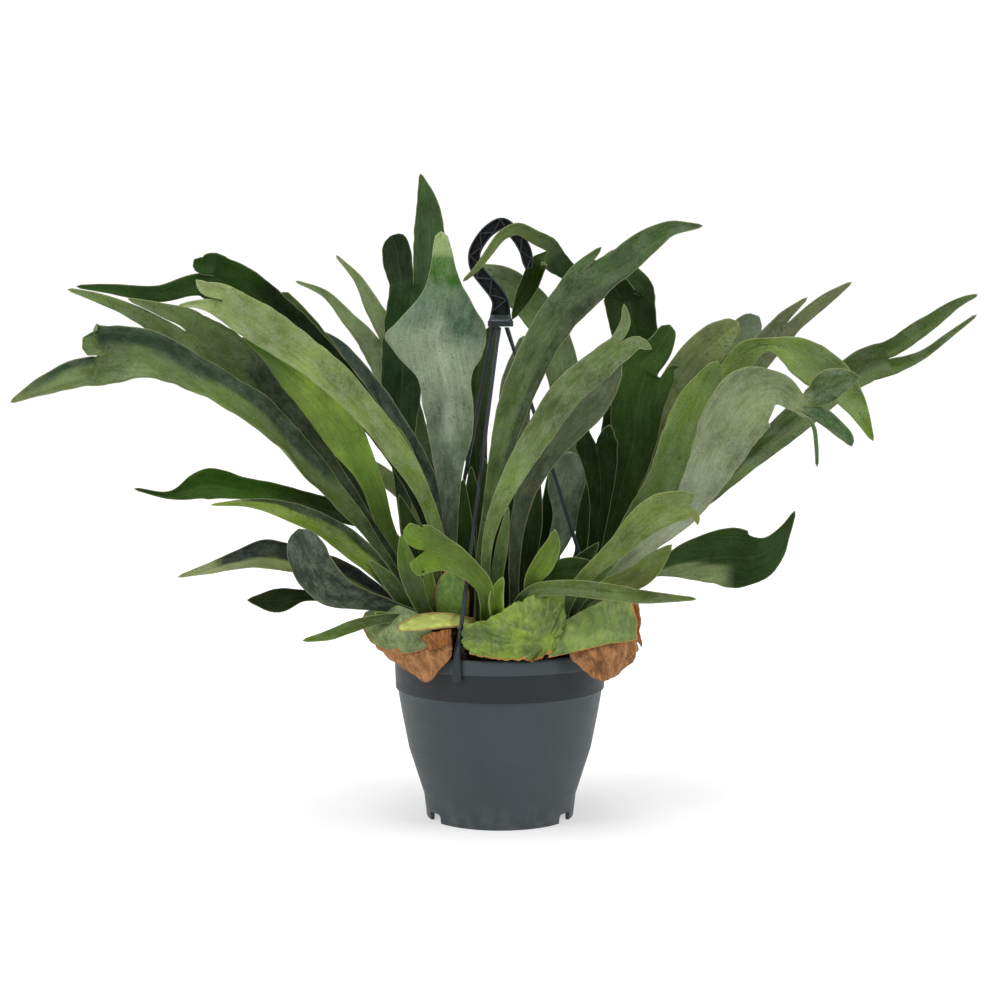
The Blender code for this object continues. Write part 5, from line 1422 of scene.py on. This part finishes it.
def buildMound(name, seed):
    x, y, halfX, halfY = mounds[name]
    (wider, soon), (narrower, late) = moundForm["swelling"], moundForm["shoulder"]
    top, square, segments = moundForm["top"], moundForm["square"], moundForm["segments"]
    levels = []
    for i in range(moundForm["levels"] + 1):
        t = i / moundForm["levels"]
        scale = moundForm["waist"] + wider * math.sin(min(t * soon, 1) * math.pi / 2)
        levels.append((scale - narrower * max(0, t - late),
                       moundForm["bottom"] + moundForm["height"] * t))
    for i in range(1, moundForm["topRings"]):
        levels.append((0.99 * (1 - i / moundForm["topRings"]), top))
    rings = []
    for scale, height in levels:
        ring = []
        for i in range(segments):
            turn = math.tau * i / segments
            c, s = math.cos(turn), math.sin(turn)
            u = math.copysign(abs(c) ** square, c) * halfX * scale
            v = math.copysign(abs(s) ** square, s) * halfY * scale
            place = Vector((x + u, y + v, 0))
            place *= min(1.0, moundForm["within"] / max(place.length, 1e-6))
            lump = sum(share * noise.noise((place.x / run, place.y / run, height / run + seed))
                       for share, run in moundForm["lumps"])
            sink = moundForm["topSink"] + lump
            if height < moundForm["flatFrom"]:
                rough, inset = moundForm["rough"]
                place += (place - Vector((x, y, 0))).normalized() * (lump * rough - inset)
                sink = 0
            ring.append(Vector((place.x, place.y, height - sink)))
        rings.append(ring)
    body = meshObject(name + "_body", loft(name, rings), rhizomeBrown, name)
    fuzz = linked(name + "_fuzz", body.data.copy())
    grown = fuzz.modifiers.new("scales", "NODES")
    grown.node_group, sockets = scaleTree
    for key, value in {**scaleShape, "Seed": seed}.items():
        grown[sockets[key]] = value
    bake(fuzz)
    belongs(fuzz, name)


buildMix()
for seed, name in enumerate(mounds):
    buildMound(name, seed + 3)
print("mix and rhizomes built")


hook = {
    "path": [  # x, z, half width down the middle of the band
        (28, 541, 3.5), (27, 548, 5.5), (24, 560, 6), (15, 574, 6), (3, 584, 6), (-9, 579, 6),
        (-19, 568, 6), (-25, 555, 6), (-23, 541, 6.5), (-14, 529, 7), (-4, 517, 7.5),
        (0.5, 507, 8.5), (0.5, 496, 10),
    ],
    "head": [(496, 10, 6.5), (493, 10.5, 7), (490.5, 11.6, 8), (489.6, 12.5, 9), (484.4, 12.5, 9)],
    "rail": 1.7,
    "depth": 4.6,
    "web": 0.4,
    "webInset": 0.6,  # from the band's edge
    "ribEvery": 9.5,
    "ribHalf": 0.8,
    "ribInset": 1.6,
    "ribDepth": 0.9,  # of the rails' depth
    "tip": (1.6, 2.6),  # how thick and how deep
    "headX": 0.5,
}
arms = {  # start x and y under the head, then the foot's angle
    "hanger_arm_front": (-1, -4, -22.0),
    "hanger_arm_right": (6.5, 2, 98.0),
    "hanger_arm_back": (-6.5, 3, 218.0),
}
armShape = {
    "top": 483.7,
    "foot": (101, 194),  # radius and height
    "rod": [(0, 2.3), (0.02, 2.3), (0.06, 1.9), (0.84, 1.9), (0.975, 2.0), (0.985, 2.1)],
    "clip": [  # radius, height, half width, half depth and corner, over the rim and down
        (102.4, 190, 2.4, 2.0, 1.6), (104.4, 185.4, 2.8, 1.8, 1.2), (106.8, 181, 3.1, 1.6, 1.0),
        (108.1, 176.5, 3.4, 1.5, 0.8), (108.2, 172, 3.6, 1.4, 0.8), (108.2, 160, 4.1, 1.4, 0.8),
        (108.2, 151.5, 4.4, 1.4, 0.8), (108.2, 150.2, 3.6, 1.0, 0.8),
    ],
}


def smoothPath(points, steps=6):
    # Catmull-Rom curve through the points.
    out = []
    for i in range(len(points) - 1):
        a, b, c, d = (points[min(max(j, 0), len(points) - 1)] for j in (i - 1, i, i + 1, i + 2))
        for step in range(steps):
            t = step / steps
            out.append(tuple(
                0.5 * (2 * q + (r - p) * t + (2 * p - 5 * q + 4 * r - s) * t * t
                       + (3 * q - p - 3 * r + s) * t**3)
                for p, q, r, s in zip(a, b, c, d)
            ))
    return [*out, points[-1]]


def rounded(halfWide, halfDeep, corner, steps=3):
    # Outline of a round-cornered rectangle about the origin.
    corner = min(corner, halfWide * 0.98, halfDeep * 0.98)
    out = []
    for quarter, (sx, sy) in enumerate(((1, 1), (-1, 1), (-1, -1), (1, -1))):
        for i in range(steps + 1):
            turn = math.pi / 2 * (quarter + i / steps)
            out.append((sx * (halfWide - corner) + corner * math.cos(turn),
                        sy * (halfDeep - corner) + corner * math.sin(turn)))
    return out


def sweep(name, stations):
    # Lofts outlines: each station is a centre, two unit directions and an outline.
    return loft(name, [[c + u * p + v * q for p, q in outline] for c, u, v, outline in stations])


def hookBand():
    # A thin web with a rail along each edge and zigzag ribs between them.
    path = smoothPath(hook["path"])
    deep = Vector((0, 1, 0))
    parts = []
    frames = []
    for i, (x, z, half) in enumerate(path):
        heading = Vector((0, 0, -1))  # the last one goes straight down into the head
        if i < len(path) - 1:
            a, b = path[max(i - 1, 0)], path[i + 1]
            heading = Vector((b[0] - a[0], 0, b[1] - a[1])).normalized()
        frames.append((Vector((x, 0, z)), heading, heading.cross(deep), half))
    web = sweep("web", [
        (c, across, deep, rounded(half - hook["webInset"], hook["web"], 0.3, 1))
        for c, _, across, half in frames
    ])
    # The web in the darker channel plastic: painted shade down between the rails and ribs.
    meshObject("hook_channel", web, channelShadePlastic, "hanger_hook")
    rail = hook["rail"]
    for side in (-1, 1):  # the rails deepen over the first few stations from the tip
        parts.append(sweep("rail", [
            (c + across * side * (half - rail / 2), across, deep,
             rounded(rail / 2, hook["depth"] * min(1, 0.55 + i * 0.15), 0.5, 2))
            for i, (c, _, across, half) in enumerate(frames)
        ]))
    travelled = 0.0
    turn = 1
    last = None
    for (c, _, across, half), (d, *_) in zip(frames, frames[1:]):
        travelled += (d - c).length
        if travelled >= hook["ribEvery"] or last is None:
            spot = c + across * turn * (half - hook["ribInset"])
            if last is not None:
                wide = (spot - last).normalized().cross(deep)
                outline = rounded(hook["ribHalf"], hook["depth"] * hook["ribDepth"], 0.3, 1)
                parts.append(sweep("rib", [(p, wide, deep, outline) for p in (last, spot)]))
            last = spot
            turn = -turn
            travelled = 0.0
    start, heading, across, half = frames[0]
    thick, tipDeep = hook["tip"]
    outline = rounded(half, tipDeep, 1.2)
    parts.append(sweep("tip", [(start + heading * s, across, deep, outline) for s in (0.0, thick)]))
    return parts


def joined(name, parts):
    # One mesh of several, each still a closed shell.
    made = bmesh.new()
    for mesh in parts:
        made.from_mesh(mesh)
    return meshFrom(name, made)


def buildHanger():
    parts = hookBand()
    east, north = Vector((1, 0, 0)), Vector((0, 1, 0))
    parts.append(sweep("head", [
        (Vector((hook["headX"], 0, z)), east, north, rounded(wide, deep, min(4.5, deep * 0.6), 5))
        for z, wide, deep in hook["head"]
    ]))
    body = meshObject("hook_body", joined("hook", parts), hangerPlastic,
                      "hanger_hook")
    sharpen(body.data)
    for name, (x, y, angle) in arms.items():
        side = around(1, angle, 0).cross(Vector((0, 0, 1)))
        radius, z = armShape["foot"]
        top, foot = Vector((x, y, armShape["top"])), around(radius, angle, z)
        run = [(top.lerp(foot, share), half, half, half) for share, half in armShape["rod"]]
        run += [(around(radius, angle, z), *rest) for radius, z, *rest in armShape["clip"]]
        stations = []
        for i, (centre, wide, deep, corner) in enumerate(run):
            heading = run[min(i + 1, len(run) - 1)][0] - run[max(i - 1, 0)][0]
            if i in (0, len(run) - 1):
                heading = Vector((0, 0, -1))
            thin = heading.cross(side).normalized()
            stations.append((centre, side, thin, rounded(wide, deep, corner, 4)))
        arm = meshObject(name + "_rod", sweep(name, stations), hangerPlastic,
                         name)
        sharpen(arm.data)


buildHanger()
print("hanger built")

floorHalf = 8
ground = bpy.data.meshes.new("floor")
corners = [(x * floorHalf, y * floorHalf, 0) for x, y in ((-1, -1), (1, -1), (1, 1), (-1, 1))]
ground.from_pydata(corners, [], [(0, 1, 2, 3)])
paper, paperTree = newMaterial("white_paper")  # seamless paper that glows, painted light that keeps it white out to the horizon
reach = add(paperTree, "ShaderNodeVectorMath",
            {0: add(paperTree, "ShaderNodeTexCoord", out="Object")}, "Value", operation="LENGTH")
# The glow is 0.52 within 0.1 m of the middle, rising to 0.95 at 0.9 m: a painted shadow round the
# pot's foot.
glow = add(paperTree, "ShaderNodeMapRange", {0: reach, 1: 0.1, 2: 0.9, 3: 0.52, 4: 0.95})
paperShader = add(paperTree, "ShaderNodeBsdfPrincipled", {
    "Base Color": (0.4, 0.4, 0.4, 1), "Roughness": 0.95, "Specular IOR Level": 0.0,
    "Emission Color": (1, 1, 1, 1), "Emission Strength": glow})
add(paperTree, "ShaderNodeOutputMaterial", {"Surface": paperShader})
ground.materials.append(paper)
floor = linked("floor", ground)

bpy.context.scene.view_settings.view_transform = "Standard"
world = bpy.data.worlds.new("studio")
bpy.context.scene.world = world
world.use_nodes = True
world.node_tree.nodes.clear()
seen = add(world.node_tree, "ShaderNodeLightPath", out="Is Camera Ray")
strength = add(world.node_tree, "ShaderNodeMapRange", {0: seen, 3: 0.48, 4: 1.05})
sky = add(world.node_tree, "ShaderNodeBackground", {"Color": (1, 1, 1, 1), "Strength": strength})
add(world.node_tree, "ShaderNodeOutputWorld", {0: sky})


def turnTo(made, place, aim):
    made.location = place
    made.rotation_euler = (Vector(aim) - Vector(place)).to_track_quat("-Z", "Y").to_euler()


def softbox(name, place, aim, size, power):
    lamp = bpy.data.lights.new(name, "AREA")
    lamp.shape = "RECTANGLE"
    lamp.size, lamp.size_y = size
    lamp.energy = power
    turnTo(linked(name, lamp), place, aim)


softbox("left", (-2.1, -1.4, 1.8), (0, 0, 0.35), (1.2, 1.6), 44)
softbox("right", (2.2, -1.3, 1.5), (0, 0, 0.3), (1.2, 1.6), 30)
softbox("top", (-0.2, -0.2, 2.7), (0, 0, 0.3), (1.3, 1.3), 46)

camera = bpy.data.cameras.new("camera")
camera.lens = 77.0
camera.sensor_width = 36.0
camera.dof.use_dof = False
bpy.context.scene.camera = linked("camera", camera)
turnTo(bpy.context.scene.camera, (0, -2.1, 0.5), (0, 0, 0.314))

bpy.context.view_layer.update()
